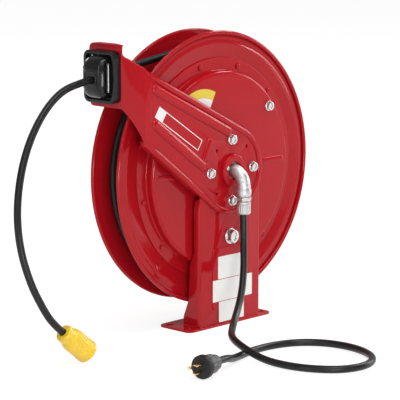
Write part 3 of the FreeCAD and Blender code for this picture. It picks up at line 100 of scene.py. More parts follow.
class Shader:
    """A material under construction, with a principled surface at its end."""

    def __init__(self, name: str) -> None:
        """Start an empty material.

        Args:
            name: the material's name.
        """
        self.material = bpy.data.materials.new(name)
        self.material.use_nodes = True
        self.tree = self.material.node_tree
        self.tree.nodes.clear()
        self.surface = self.tree.nodes.new("ShaderNodeBsdfPrincipled")
        self.output = self.tree.nodes.new("ShaderNodeOutputMaterial")
        self.tree.links.new(self.surface.outputs[0], self.output.inputs["Surface"])

    def _feed(self, socket: bpy.types.NodeSocket, given: object) -> None:
        """Link a value to a socket, or write a number or colour on it.

        Args:
            socket: the socket.
            given: a value, a number or a colour.
        """
        if isinstance(given, Value):
            self.tree.links.new(given.output, socket)
            return
        if isinstance(given, tuple) and len(given) == 3 and len(socket.default_value) == 4:
            given = (*given, 1.0)
        socket.default_value = given

    def node(self, kind: str, settings: Optional[dict] = None,
             inputs: Optional[dict] = None, output: Union[int, str] = 0) -> Value:
        """Add a node of any type.

        Args:
            kind: the node's type.
            settings: its properties, set first; "stops" fills a colour ramp.
            inputs: values or links by socket name or number.
            output: the name or number of the output to use.

        Returns:
            The output as a value.
        """
        made = self.tree.nodes.new(kind)
        for key, setting in (settings or {}).items():
            if key == "stops":
                fill_ramp(made.color_ramp, setting)
            else:
                setattr(made, key, setting)
        for key, given in (inputs or {}).items():
            self._feed(made.inputs[key], given)
        return Value(self, made.outputs[output])

    def place(self) -> Value:
        """The point on the object, in metres."""
        return self.node("ShaderNodeTexCoord", output="Object")

    def noise(self, scale: float, detail: float = 3.0, rough: float = 0.55) -> Value:
        """Cloudy noise from 0 to 1.

        Args:
            scale: cycles a metre.
            detail: octaves.
            rough: how much the fine octaves count.

        Returns:
            The noise.
        """
        return self.node("ShaderNodeTexNoise", {"noise_dimensions": "3D"},
                         {"Vector": self.place(), "Scale": scale, "Detail": detail,
                          "Roughness": rough}, "Fac")

    def cells(self, scale: float) -> Value:
        """Random grey for each cell of a cell pattern with that many cells a metre.

        Args:
            scale: cells a metre.

        Returns:
            The grey.
        """
        colour = self.node("ShaderNodeTexVoronoi", {"feature": "F1"},
                           {"Vector": self.place(), "Scale": scale}, "Color")
        return self.node("ShaderNodeSeparateColor", None, {0: colour}, 0)

    def stretched(self, scale: Point, detail: float = 2.0) -> Value:
        """Noise drawn out along an axis, for turned or brushed marks.

        Args:
            scale: cycles a metre along X, Y and Z.
            detail: octaves.

        Returns:
            The noise.
        """
        spot = self.node("ShaderNodeMapping", None, {"Vector": self.place(), "Scale": scale})
        return self.node("ShaderNodeTexNoise", {"noise_dimensions": "3D"},
                         {"Vector": spot, "Scale": 1.0, "Detail": detail}, "Fac")

    def ramp(self, value: Value, stops: Sequence[tuple[float, float]]) -> Value:
        """Pass a value through a grey ramp."""
        grey = [(at, (level, level, level)) for at, level in stops]
        return self.node("ShaderNodeValToRGB", {"stops": grey}, {0: value})

    def mix(self, factor: object, first: object, second: object) -> Value:
        """Mix two colours by a factor."""
        return self.node("ShaderNodeMix", {"data_type": "RGBA"},
                         {0: factor, 6: first, 7: second}, 2)

    def finish(self, colour: object, roughness: object, metallic: float = 0.0,
               coat: float = 0.0, height: Optional[Value] = None,
               depth: float = 0.0, specular: float = 0.5) -> bpy.types.Material:
        """Set the surface's sockets and give the material back.

        Args:
            colour: base colour or link.
            roughness: roughness or link.
            metallic: metallic.
            coat: weight of the clear coat.
            height: bump height from 0 to 1.
            depth: the bump's depth in metres.
            specular: how much of the light the surface under the coat mirrors.

        Returns:
            The material.
        """
        self._feed(self.surface.inputs["Base Color"], colour)
        self._feed(self.surface.inputs["Roughness"], roughness)
        self.surface.inputs["Metallic"].default_value = metallic
        self.surface.inputs["Coat Weight"].default_value = coat
        self.surface.inputs["Coat Roughness"].default_value = 0.07
        self.surface.inputs["Specular IOR Level"].default_value = specular
        if height is not None:
            normal = self.node("ShaderNodeBump", None,
                               {"Strength": 1.0, "Distance": depth, "Height": height})
            self._feed(self.surface.inputs["Normal"], normal)
        return self.material


def fill_ramp(ramp: bpy.types.ColorRamp, stops: Sequence[tuple[float, Colour]]) -> None:
    """Write a colour ramp's stops.

    Args:
        ramp: the ramp.
        stops: the place and colour of each stop.
    """
    while len(ramp.elements) < len(stops):
        ramp.elements.new(0.5)
    for element, (at, colour) in zip(ramp.elements, stops):
        element.position = at
        element.color = (*colour, 1.0)


def shade(colour: Colour, factor: float) -> Colour:
    """A colour made lighter or darker by a factor."""
    return tuple(min(1.0, part * factor) for part in colour)


# Finishes

@dataclass(frozen=True)
class PowderCoat:
    """Glossy powder coat with its faint orange peel."""

    colour: Colour = (0.40, 0.0055, 0.011)
    peel_per_metre: float = 420.0
    peel_depth: float = 0.00009

    def build(self) -> bpy.types.Material:
        """Make the material.

        Returns:
            The material.
        """
        shader = Shader("red_powder_coat")
        cloud = shader.noise(9.0, 2.0)
        colour = shader.mix(cloud, shade(self.colour, 0.9), shade(self.colour, 1.08))
        peel = shader.noise(self.peel_per_metre, 2.0, 0.4)
        fine = shader.noise(60.0, 3.0)
        return shader.finish(colour, 0.2 + fine * 0.14, coat=0.5, height=peel,
                             depth=self.peel_depth, specular=0.0)


@dataclass(frozen=True)
class RubberJacket:
    """Black cord jacket, satin, with handling marks."""

    colour: Colour = (0.009, 0.009, 0.010)

    def build(self) -> bpy.types.Material:
        """Make the material.

        Returns:
            The material.
        """
        shader = Shader("cord_jacket")
        scuff = shader.ramp(shader.noise(140.0, 5.0, 0.7), [(0.55, 0.0), (0.8, 1.0)])
        colour = shader.mix(scuff, self.colour, shade(self.colour, 3.4))
        grain = shader.noise(2600.0, 2.0)
        return shader.finish(colour, 0.3 + scuff * 0.2, height=grain, depth=0.00005,
                             specular=0.3)


class Grain(Enum):
    """How a metal's surface was made."""

    PLATED = "plated"
    SPANGLED = "spangled"
    TURNED = "turned"
    CAST = "cast"


@dataclass(frozen=True)
class Metal:
    """Bare or plated metal."""

    name: str
    colour: Colour
    roughness: float
    grain: Grain

    def build(self) -> bpy.types.Material:
        """Make the material.

        Returns:
            The material.
        """
        shader = Shader(self.name)
        if self.grain is Grain.SPANGLED:
            pattern = shader.cells(260.0) * 0.6 + shader.noise(900.0) * 0.4
            spread, depth = 0.35, 0.00012
        elif self.grain is Grain.TURNED:
            pattern = shader.stretched((900.0, 9000.0, 900.0))
            spread, depth = 0.12, 0.00003
        elif self.grain is Grain.CAST:
            pattern = shader.noise(1500.0, 4.0, 0.7)
            spread, depth = 0.3, 0.00035
        else:
            pattern = shader.noise(220.0, 4.0)
            spread, depth = 0.16, 0.00003
        colour = shader.mix(pattern, shade(self.colour, 1.0 - spread),
                            shade(self.colour, 1.0 + spread))
        return shader.finish(colour, self.roughness + pattern * 0.18, metallic=1.0,
                             height=pattern, depth=depth)


@dataclass(frozen=True)
class Moulding:
    """Moulded plastic or rubber, glossy or with a fine spark texture."""

    name: str
    colour: Colour
    roughness: float
    coat: float = 0.0
    spark_depth: float = 0.00003
    specular: float = 0.5

    def build(self) -> bpy.types.Material:
        """Make the material.

        Returns:
            The material.
        """
        shader = Shader(self.name)
        cloud = shader.noise(45.0, 4.0)
        spark = shader.noise(3200.0, 2.0)
        colour = shader.mix(cloud, shade(self.colour, 0.88), shade(self.colour, 1.12))
        return shader.finish(colour, self.roughness + cloud * 0.12, coat=self.coat,
                             height=spark, depth=self.spark_depth, specular=self.specular)


@dataclass(frozen=True)
class Vinyl:
    """A blank printed film with a soft sheen."""

    name: str
    colour: Colour

    def build(self) -> bpy.types.Material:
        """Make the material.

        Returns:
            The material.
        """
        shader = Shader(self.name)
        ripple = shader.noise(130.0, 3.0)
        colour = shader.mix(ripple, shade(self.colour, 0.94), self.colour)
        return shader.finish(colour, 0.34 + ripple * 0.1, height=ripple, depth=0.00012)


FINISHES = {
    "red": PowderCoat(),
    "jacket": RubberJacket(),
    "zinc": Metal("zinc_plate", (0.66, 0.66, 0.65), 0.16, Grain.PLATED),
    "galvanized": Metal("galvanized_iron", (0.60, 0.61, 0.61), 0.36, Grain.SPANGLED),
    "cast": Metal("cast_zinc", (0.58, 0.58, 0.57), 0.38, Grain.CAST),
    "steel": Metal("turned_steel", (0.52, 0.51, 0.50), 0.28, Grain.TURNED),
    "blued": Metal("blued_spring_steel", (0.10, 0.11, 0.15), 0.3, Grain.PLATED),
    "oxide": Metal("black_oxide_steel", (0.03, 0.03, 0.03), 0.4, Grain.PLATED),
    "bronze": Metal("sintered_bronze", (0.48, 0.32, 0.14), 0.38, Grain.CAST),
    "brass": Metal("bright_brass", (0.83, 0.62, 0.28), 0.18, Grain.PLATED),
    "black_gloss": Moulding("black_gloss_plastic", (0.007, 0.007, 0.008), 0.14, coat=0.2,
                            specular=0.22),
    "black_matte": Moulding("black_matte_plastic", (0.012, 0.012, 0.012), 0.42,
                            spark_depth=0.00008, specular=0.3),
    "roller": Moulding("black_roller_plastic", (0.009, 0.009, 0.010), 0.1, coat=0.9,
                       specular=0.5),
    "gray": Moulding("gray_moulded_rubber", (0.085, 0.085, 0.09), 0.42, spark_depth=0.0001),
    "yellow": Moulding("yellow_moulded_plastic", (0.80, 0.53, 0.02), 0.3, coat=0.25),
    "white_film": Vinyl("blank_white_film", (0.78, 0.78, 0.76)),
    "yellow_film": Vinyl("blank_yellow_film", (0.72, 0.56, 0.03)),
}


# Meshes

def linked(name: str, data: bpy.types.ID) -> bpy.types.Object:
    """A new object of that name and data, in the scene.

    Args:
        name: the object's name.
        data: its mesh, curve, lamp or camera.

    Returns:
        The object, at the origin.
    """
    thing = bpy.data.objects.new(name, data)
    bpy.context.scene.collection.objects.link(thing)
    return thing


def tube_faces(rings: int, around: int) -> list[list[int]]:
    """Four-sided faces between neighbouring rings of a tube, whose rings follow each other.

    Args:
        rings: how many rings there are.
        around: how many vertices each ring has.

    Returns:
        The vertex numbers of each face.
    """
    faces = []
    for ring in range(rings - 1):
        low, high = ring * around, (ring + 1) * around
        for step in range(around):
            following = (step + 1) % around
            faces.append([low + step, low + following, high + following, high + step])
    return faces


def smooth(mesh: bpy.types.Mesh, degrees: float = 32.0) -> None:
    """Shade a mesh smooth, with sharp edges above an angle."""
    mesh.shade_smooth()
    mesh.set_sharp_from_angle(angle=math.radians(degrees))


def mesh_object(name: str, vertices: Sequence[Sequence[float]],
                faces: Sequence[Sequence[int]], degrees: float = 32.0) -> bpy.types.Object:
    """Make an object from vertices and faces.

    Args:
        name: the piece's name.
        vertices: places in metres.
        faces: vertex numbers of each face.
        degrees: the angle above which an edge is sharp.

    Returns:
        The object, at the origin.
    """
    mesh = bpy.data.meshes.new(name)
    mesh.from_pydata([tuple(spot) for spot in vertices], [], [list(face) for face in faces])
    body = bmesh.new()
    body.from_mesh(mesh)
    bmesh.ops.remove_doubles(body, verts=body.verts, dist=1e-7)
    bmesh.ops.recalc_face_normals(body, faces=body.faces)
    body.to_mesh(mesh)
    body.free()
    smooth(mesh, degrees)
    return linked(name, mesh)


def softened(points: Sequence[Pair], radii: Union[float, Sequence[float]],
             steps: int = 5, closed: bool = True) -> list[Pair]:
    """Round the corners of an outline.

    Args:
        points: the outline's corners.
        radii: one radius for all corners, or one for each.
        steps: pieces in each round corner.
        closed: whether the last corner joins the first.

    Returns:
        The outline's points.
    """
    count = len(points)
    sizes = [radii] * count if isinstance(radii, (int, float)) else list(radii)
    result: list[Pair] = []
    for index, (spot, size) in enumerate(zip(points, sizes)):
        inner = closed or 0 < index < count - 1
        before = Vector(points[index - 1]) - Vector(spot)
        after = Vector(points[(index + 1) % count]) - Vector(spot)
        turn = before.angle(after, 0.0) if inner and before.length and after.length else 0.0
        if not inner or size <= 0 or turn < 1e-3 or abs(turn - math.pi) < 1e-3:
            result.append((spot[0], spot[1]))
            continue
        reach = min(size / math.tan(turn / 2), before.length * 0.49, after.length * 0.49)
        start = Vector(spot) + before.normalized() * reach
        end = Vector(spot) + after.normalized() * reach
        for step in range(steps + 1):
            share = step / steps
            bend = (start * (1 - share) ** 2 + Vector(spot) * (2 * share * (1 - share))
                    + end * share ** 2)
            result.append((bend.x, bend.y))
    return result


def lathe(name: str, profile: Sequence[Pair], base: Point, axis: Point, segments: int = 96,
          flute: Optional[Callable[[float, float], float]] = None,
          degrees: float = 32.0) -> bpy.types.Object:
    """Turn a profile about an axis.

    Args:
        name: the piece's name.
        profile: closed outline of (radius, height along the axis) in metres.
        base: the point on the axis at height 0.
        axis: the axis's direction.
        segments: steps round the axis.
        flute: a radius change for an angle and a height, in metres.
        degrees: the angle above which an edge is sharp.

    Returns:
        The object.
    """
    turn = Vector((0, 0, 1)).rotation_difference(Vector(axis)).to_matrix()
    rings = len(profile)
    vertices = []
    for step in range(segments):
        angle = 2 * math.pi * step / segments
        for radius, height in profile:
            extra = flute(angle, height) if flute and radius > ON_AXIS else 0.0
            spot = Vector(((radius + extra) * math.cos(angle),
                           (radius + extra) * math.sin(angle), height))
            vertices.append(turn @ spot + Vector(base))
    faces = []
    for step in range(segments):
        following = (step + 1) % segments
        for ring in range(rings):
            above = (ring + 1) % rings
            if profile[ring][0] < ON_AXIS and profile[above][0] < ON_AXIS:
                continue
            faces.append([step * rings + ring, following * rings + ring,
                          following * rings + above, step * rings + above])
    return mesh_object(name, vertices, faces, degrees)


def sweep(name: str, path: Sequence[Vector], radii: Union[float, Sequence[float]],
          sides: int = 24) -> bpy.types.Object:
    """Draw a round section along a path, closed at both ends.

    Args:
        name: the piece's name.
        path: points along the centre line.
        radii: one radius, or one for each point.
        sides: sides of the section.

    Returns:
        The object.
    """
    sizes = [radii] * len(path) if isinstance(radii, (int, float)) else list(radii)
    tangents = [(path[min(i + 1, len(path) - 1)] - path[max(i - 1, 0)]).normalized()
                for i in range(len(path))]
    side = tangents[0].orthogonal().normalized()
    vertices: list[Vector] = []
    for spot, tangent, radius in zip(path, tangents, sizes):
        side = (side - tangent * side.dot(tangent)).normalized()
        up = tangent.cross(side)
        for step in range(sides):
            angle = 2 * math.pi * step / sides
            vertices.append(spot + (side * math.cos(angle) + up * math.sin(angle)) * radius)
    faces = tube_faces(len(path), sides)
    faces.append(list(range(sides))[::-1])
    faces.append([(len(path) - 1) * sides + step for step in range(sides)])
    return mesh_object(name, vertices, faces, 50.0)


class Facing(Enum):
    """The way a flat outline looks: which row axes its own two axes follow."""

    UP = "up"
    FRONT = "front"
    LEFT = "left"

    def matrix(self) -> Matrix:
        """The turn from the outline's plane; its thickness grows along the last column.

        Returns:
            The turn.
        """
        columns = {
            Facing.UP: ((1, 0, 0), (0, 1, 0), (0, 0, 1)),
            Facing.FRONT: ((1, 0, 0), (0, 0, 1), (0, -1, 0)),
            Facing.LEFT: ((0, 1, 0), (0, 0, 1), (-1, 0, 0)),
        }[self]
        return Matrix(columns).transposed().to_4x4()


def plate(name: str, outlines: Sequence[Sequence[Pair]], low: float, high: float,
          facing: Facing, edge: float, at: Point = (0, 0, 0)) -> bpy.types.Object:
    """A flat plate with rounded edges.

    Args:
        name: the piece's name.
        outlines: the outer outline and its holes, in metres.
        low: where its thickness starts, along the way it faces.
        high: where its thickness ends.
        facing: the way it looks.
        edge: the radius of its edges.
        at: a shift of the whole piece.

    Returns:
        The object.
    """
    curve = bpy.data.curves.new(name, "CURVE")
    curve.dimensions = "2D"
    curve.fill_mode = "BOTH"
    for outline in outlines:
        spline = curve.splines.new("POLY")
        spline.points.add(len(outline) - 1)
        for spot, pair in zip(spline.points, outline):
            spot.co = (pair[0], pair[1], 0, 1)
        spline.use_cyclic_u = True
    curve.extrude = (high - low) / 2 - edge
    curve.bevel_depth = edge
    curve.bevel_resolution = 3
    curve.offset = -edge
    holder = linked(name + "_outline", curve)
    bpy.context.view_layer.update()
    mesh = bpy.data.meshes.new_from_object(holder)
    bpy.data.objects.remove(holder)
    bpy.data.curves.remove(curve)
    shift = Matrix.Translation(at) @ facing.matrix()
    mesh.transform(shift @ Matrix.Translation((0, 0, (high + low) / 2)))
    mesh.name = name
    smooth(mesh, 40.0)
    return linked(name, mesh)


def eased(node: str, edge: float, segments: int = 3, degrees: float = 34.0) -> bpy.types.Object:
    """A copy of a CAD node with its sharp edges rounded, to stand for the node.

    Args:
        node: the CAD node.
        edge: the radius of its edges in metres.
        segments: steps in each rounded edge.
        degrees: the angle above which an edge is rounded.

    Returns:
        The object, not yet placed on a body.
    """
    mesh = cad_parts[node].data.copy()
    mesh.materials.clear()
    body = bmesh.new()
    body.from_mesh(mesh)
    bmesh.ops.remove_doubles(body, verts=body.verts, dist=2e-6)
    bmesh.ops.dissolve_limit(body, angle_limit=math.radians(0.4), verts=body.verts,
                             edges=body.edges)
    body.to_mesh(mesh)
    body.free()
    if "custom_normal" in mesh.attributes:
        mesh.attributes.remove(mesh.attributes["custom_normal"])
    made = linked(node + "_eased", mesh)
    bevel = made.modifiers.new("edges", "BEVEL")
    bevel.width = edge
    bevel.segments = segments
    bevel.limit_method = "ANGLE"
    bevel.angle_limit = math.radians(degrees)
    bevel.use_clamp_overlap = True
    bevel.miter_outer = "MITER_ARC"
    applied = bpy.data.meshes.new_from_object(
        made.evaluated_get(bpy.context.evaluated_depsgraph_get()))
    made.modifiers.clear()
    made.data = applied
    smooth(applied, 38.0)
    return made


def pillow(name: str, base: Point, half: Pair, depth: float, power: float,
           wall: float) -> bpy.types.Object:
    """A hollow bulge with a rounded-square section, open at its base, that looks to -X.

    Args:
        name: the piece's name.
        base: the centre of its open side.
        half: half its width along Y and half its height along Z.
        depth: how far it bulges.
        power: how square it is; 2 is an ellipsoid.
        wall: the thickness of its wall.

    Returns:
        The object.
    """
    around, along = 96, 28
    vertices = []
    for inset in (0.0, wall):
        wide, tall, deep = half[0] - inset, half[1] - inset, depth - inset
        for ring in range(along):
            lift = math.pi / 2 * ring / along
            out = math.sin(lift) ** (2 / power)
            section = (1 - out ** power) ** (1 / power)
            for step in range(around):
                angle = 2 * math.pi * step / around
                c, s = math.cos(angle), math.sin(angle)
                size = section / (abs(c) ** power + abs(s) ** power) ** (1 / power)
                vertices.append((base[0] - deep * out, base[1] + wide * size * c,
                                 base[2] + tall * size * s))
        vertices.append((base[0] - deep, base[1], base[2]))
    shell = around * along + 1
    faces = []
    for start in (0, shell):
        for step in range(around):
            following = (step + 1) % around
            for ring in range(along - 1):
                low = start + ring * around
                faces.append([low + step, low + following, low + around + following,
                              low + around + step])
            last = start + (along - 1) * around
            faces.append([last + step, last + following, start + shell - 1])
    for step in range(around):
        following = (step + 1) % around
        faces.append([step, following, shell + following, shell + step])
    return mesh_object(name, vertices, faces, 40.0)


def carved(thing: bpy.types.Object, cutters: Sequence[bpy.types.Object]) -> bpy.types.Object:
    """Cut shapes out of a piece.

    Args:
        thing: the piece, which is changed.
        cutters: the shapes, which are used up.

    Returns:
        The piece.
    """
    for cutter in cutters:
        hole = thing.modifiers.new("hole", "BOOLEAN")
        hole.operation = "DIFFERENCE"
        hole.solver = "EXACT"
        hole.object = cutter
    view = bpy.context.evaluated_depsgraph_get()
    mesh = bpy.data.meshes.new_from_object(thing.evaluated_get(view))
    thing.modifiers.clear()
    thing.data = mesh
    for cutter in cutters:
        bpy.data.objects.remove(cutter)
    smooth(mesh, 40.0)
    return thing


def joined(name: str, pieces: Sequence[bpy.types.Object]) -> bpy.types.Object:
    """Join several objects into one.

    Args:
        name: the joined piece's name.
        pieces: the objects, which are used up.

    Returns:
        The object.
    """
    body = bmesh.new()
    for piece in pieces:
        body.from_mesh(piece.data)
    mesh = bpy.data.meshes.new(name)
    body.to_mesh(mesh)
    body.free()
    for piece in pieces:
        bpy.data.objects.remove(piece)
    smooth(mesh, 38.0)
    return linked(name, mesh)


def hex_head(name: str, across: float, height: float, base: Point, axis: Point,
             dish: float = 0.0) -> bpy.types.Object:
    """A hex head with its chamfer and, if wanted, a dished top.

    Args:
        name: the piece's name.
        across: size across the flats.
        height: height of the head.
        base: the centre of its underside.
        axis: the way the head looks.
        dish: depth of the dished top.

    Returns:
        The object.
    """
    count = 48
    flat = across / 2
    turn = Vector((0, 0, 1)).rotation_difference(Vector(axis)).to_matrix()
    rings = []
    for step in range(count):
        angle = 2 * math.pi * step / count
        off = (angle + math.pi / 6) % (math.pi / 3) - math.pi / 6
        radius = flat / math.cos(off)
        fall = (radius - flat * 0.97) * math.tan(math.radians(30))
        ring = [(radius, 0.0), (radius, height - fall), (flat * 0.97, height),
                (flat * 0.72, height), (flat * 0.62, height - dish), (0.0, height - dish)]
        rings.append([turn @ Vector((r * math.cos(angle), r * math.sin(angle), up))
                      + Vector(base) for r, up in ring])
    levels = len(rings[0])
    vertices = [spot for ring in rings for spot in ring]
    faces = []
    for step in range(count):
        following = (step + 1) % count
        for level in range(levels - 1):
            faces.append([step * levels + level, following * levels + level,
                          following * levels + level + 1, step * levels + level + 1])
    faces.append([step * levels for step in range(count)])
    return mesh_object(name, vertices, faces, 24.0)


def washer(name: str, inner: float, outer: float, thick: float, base: Point,
           axis: Point) -> bpy.types.Object:
    """A flat washer with rounded edges, its underside at base."""
    corners = [(inner, 0), (outer, 0), (outer, thick), (inner, thick)]
    return lathe(name, softened(corners, thick * 0.3, 3), base, axis, 48)


def dome(name: str, start: Pair, end: Pair, width: float, height: float, y: float,
         at_z: float) -> bpy.types.Object:
    """A pressed rib: a long round-ended swelling that looks towards the hub side.

    Args:
        name: the piece's name.
        start: one end of its middle line, as x and z.
        end: the other end.
        width: its full width.
        height: how far it stands proud.
        y: the sheet's face.
        at_z: added to every z.

    Returns:
        The object.
    """
    a = Vector((start[0], y, start[1] + at_z))
    b = Vector((end[0], y, end[1] + at_z))
    along = (b - a).normalized()
    side = along.cross(Vector((0, 1, 0))).normalized()
    around = 48
    levels = 9
    vertices = []
    for level in range(levels):
        share = level / (levels - 1)
        rise = height * math.sin(share * math.pi / 2) ** 1.4
        reach = width / 2 * math.cos(share * math.pi / 2) ** 0.8
        for step in range(around):
            angle = 2 * math.pi * step / around
            centre = b if math.cos(angle) > 0 else a
            vertices.append(centre + along * (reach * math.cos(angle))
                            + side * (reach * math.sin(angle)) - Vector((0, rise, 0)))
    faces = tube_faces(levels, around)
    faces.append([(levels - 1) * around + step for step in range(around)])
    faces.append(list(range(around))[::-1])
    return mesh_object(name, vertices, faces, 60.0)


def bead(name: str, path: Sequence[Pair], width: float, height: float,
         y: float) -> bpy.types.Object:
    """A pressed half-round bead on a face that looks to the hub side, low at both ends.

    Args:
        name: the piece's name.
        path: places along its middle line, as x and z.
        width: its full width.
        height: how far it stands proud.
        y: the sheet's face.

    Returns:
        The object.
    """
    around = 13
    run_out = 8
    last = len(path) - 1
    vertices = []
    for index, spot in enumerate(path):
        before, after = Vector(path[max(index - 1, 0)]), Vector(path[min(index + 1, last)])
        along = (after - before).normalized()
        side = Vector((-along.y, along.x))
        share = min(1.0, (min(index, last - index) + 0.1) / run_out)
        grown = math.sin(share * math.pi / 2)
        for step in range(around):
            angle = math.pi * step / (around - 1)
            place = Vector(spot) + side * (width / 2 * grown * math.cos(angle))
            rise = height * grown * math.sin(angle) if 0 < step < around - 1 else -0.3 * MM
            vertices.append((place.x, y - rise, place.y))
    faces = tube_faces(len(path), around)
    faces.append(list(range(around)))
    faces.append([last * around + step for step in range(around)])
    return mesh_object(name, vertices, faces, 60.0)


class Workshop:
    """Takes finished meshes, paints them and sets them on their bodies."""

    def __init__(self) -> None:
        """Start with no paint mixed."""
        self.paints: dict[str, bpy.types.Material] = {}

    def paint(self, finish: str) -> bpy.types.Material:
        """The material of a finish, made when first needed.

        Args:
            finish: the finish's name.

        Returns:
            The material.
        """
        if finish not in self.paints:
            self.paints[finish] = FINISHES[finish].build()
        return self.paints[finish]

    def add(self, piece: bpy.types.Object, body: str, finish: str, slot: str,
            stands_for: Iterable[str] = ()) -> bpy.types.Object:
        """Paint a piece and set it on its body.

        Args:
            piece: the object.
            body: the CAD body that it rides on.
            finish: its finish.
            slot: the record's material slot; not used.
            stands_for: CAD nodes that it replaces.

        Returns:
            The piece.
        """
        piece.data.materials.clear()
        piece.data.materials.append(self.paint(finish))
        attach(piece, body)
        nodes = list(stands_for)
        if nodes:
            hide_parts(*nodes)
        log.info("piece %s on %s, finish %s", piece.name, body, finish)
        return piece

    def keep(self, node: str, finish: str) -> None:
        """Give a CAD node that stays its finish.

        Args:
            node: the CAD node.
            finish: its finish.
        """
        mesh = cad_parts[node].data
        mesh.materials.clear()
        mesh.materials.append(self.paint(finish))
        log.info("node %s kept, finish %s", node, finish)

    def ease(self, node: str, body: str, finish: str, slot: str, edge: float,
             segments: int = 2) -> bpy.types.Object:
        """Stand a copy with rounded edges in for a CAD node."""
        return self.add(eased(node, edge, segments), body, finish, slot, [node])


def cord_curve(name: str, route: Sequence[Point], diameter: float) -> bpy.types.Object:
    """A free cord as one NURBS curve whose control points are the route.

    Args:
        name: the piece's name.
        route: the control points in metres.
        diameter: the cord's diameter.

    Returns:
        The curve object.
    """
    curve = bpy.data.curves.new(name, "CURVE")
    curve.dimensions = "3D"
    curve.resolution_u = 16
    curve.bevel_depth = diameter / 2
    curve.bevel_resolution = 7
    curve.use_fill_caps = True
    spline = curve.splines.new("NURBS")
    spline.points.add(len(route) - 1)
    for spot, place in zip(spline.points, route):
        spot.co = (*place, 1.0)
    spline.order_u = 3
    spline.use_endpoint_u = True
    return linked(name, curve)


# The reel's own pieces

@dataclass
class Layout:
    """Places that several pieces share, in metres."""

    axis: Vector = field(default_factory=lambda: Vector((0, 0, 248 * MM)))
    near_disc: Pair = (2.2 * MM, 4.0 * MM)
    far_disc: Pair = (54.0 * MM, 55.8 * MM)
    case_front: float = -14.0 * MM
    arm_front: float = -34.0 * MM
    stand_front: float = -31.0 * MM
    guide: Vector = field(default_factory=lambda: Vector((-212 * MM, 29 * MM, 409 * MM)))
    cord: float = 11.2 * MM

    def polar(self, radius: float, degrees: float) -> Pair:
        """A place on a circle about the spool axis, as x and z."""
        angle = math.radians(degrees)
        return (radius * math.cos(angle), self.axis.z + radius * math.sin(angle))


@dataclass
class HexScrews:
    """Hex screws with washers that look towards the hub side."""

    across: float = 13.0 * MM
    height: float = 4.6 * MM
    washer_radius: float = 8.2 * MM
    washer_thick: float = 1.4 * MM
    dish: float = 1.8 * MM

    def at(self, name: str, x: float, y: float, z: float) -> bpy.types.Object:
        """One screw seated at a place.

        Args:
            name: the piece's name.
            x: place along the discs.
            y: the seat's face.
            z: height.

        Returns:
            The joined washer and head.
        """
        front = (0.0, -1.0, 0.0)
        parts = [
            washer(name + "_washer", self.across * 0.3, self.washer_radius, self.washer_thick,
                   (x, y, z), front),
            hex_head(name + "_head", self.across, self.height, (x, y - self.washer_thick, z),
                     front, self.dish),
        ]
        return joined(name, parts)


@dataclass
class Stand:
    """Base plate, pedestal and the blank films on its front."""

    layout: Layout
    half: Pair = (96 * MM, 35 * MM)
    thick: float = 3.5 * MM
    corner: float = 12 * MM
    slot_pitch: Pair = (168 * MM, 40 * MM)
    slot_size: Pair = (14 * MM, 8.6 * MM)
    films: tuple[tuple[float, float, float, float, str], ...] = (
        (-29.0, 34.0, 76.0, 112.0, "white_film"),
        (-41.0, 50.0, 40.0, 75.0, "white_film"),
        (-27.0, 31.0, 6.0, 39.0, "white_film"),
    )
    panel_raise: float = 1.4 * MM

    def build(self, shop: Workshop) -> None:
        """Make the stand.

        Args:
            shop: where pieces are painted and placed.
        """
        half_x, half_y = self.half
        outer = softened([(-half_x, -half_y), (half_x, -half_y), (half_x, half_y),
                          (-half_x, half_y)], self.corner, 8)
        outlines = [outer] + [self.slot(x, y) for x in (-1, 1) for y in (-1, 1)]
        shop.add(plate("base", outlines, 0.0, self.thick, Facing.UP, 0.7 * MM), "stand", "red",
                 "red_paint", ["base_plate"])
        shop.ease("pedestal", "stand", "red", "red_paint", 0.9 * MM, 3)
        self.weld(shop)
        for number, (left, right, low, high, finish) in enumerate(self.films, start=1):
            self.film(shop, "film_{}".format(number), (left, right, low, high), finish)

    def slot(self, side: int, row: int) -> list[Pair]:
        """The outline of one long hole.

        Args:
            side: -1 or 1, the end of the plate.
            row: -1 or 1, the front or the back row.

        Returns:
            The outline's points.
        """
        long, wide = self.slot_size
        x = self.slot_pitch[0] / 2 * side
        y = self.slot_pitch[1] / 2 * row
        corners = [(x - long / 2, y - wide / 2), (x + long / 2, y - wide / 2),
                   (x + long / 2, y + wide / 2), (x - long / 2, y + wide / 2)]
        return softened(corners, wide * 0.49, 8)

    def weld(self, shop: Workshop) -> None:
        """The painted weld bead along the pedestal's foot.

        Args:
            shop: where pieces are painted and placed.
        """
        front = self.layout.stand_front
        x = 68 * MM
        z = self.thick + 0.6 * MM
        for side in (-1, 1):
            path = [Vector((side * (x + 3 * MM), front + 32 * MM * step / 40, z))
                    for step in range(5, 41)]
            radii = [1.6 * MM + 0.35 * MM * math.sin(step * 2.1) for step in range(len(path))]
            radii[0] = radii[-1] = 0.7 * MM
            shop.add(sweep("weld_{}".format("left" if side < 0 else "right"), path, radii, 12),
                     "stand", "red", "red_paint")
        path = [Vector((x * (2 * step / 90 - 1), front, z)) for step in range(91)]
        radii = [1.5 * MM + 0.35 * MM * math.sin(step * 2.3) for step in range(len(path))]
        radii[0] = radii[-1] = 0.7 * MM
        shop.add(sweep("weld_front", path, radii, 12), "stand", "red", "red_paint")

    def film(self, shop: Workshop, name: str, sides: tuple[float, float, float, float],
             finish: str) -> None:
        """One blank film on the pedestal's front, in millimetres for its sides.

        Args:
            shop: where pieces are painted and placed.
            name: the piece's name.
            sides: its left, right, low and high side in millimetres.
            finish: its finish.
        """
        left, right, low, high = (side * MM for side in sides)
        corners = softened([(left, low), (right, low), (right, high), (left, high)], 1.5 * MM, 3)
        face = -self.layout.stand_front + self.panel_raise
        shop.add(plate(name, [corners], face - 0.05 * MM, face + 0.2 * MM, Facing.FRONT,
                       0.05 * MM), "stand", finish, "red_paint")


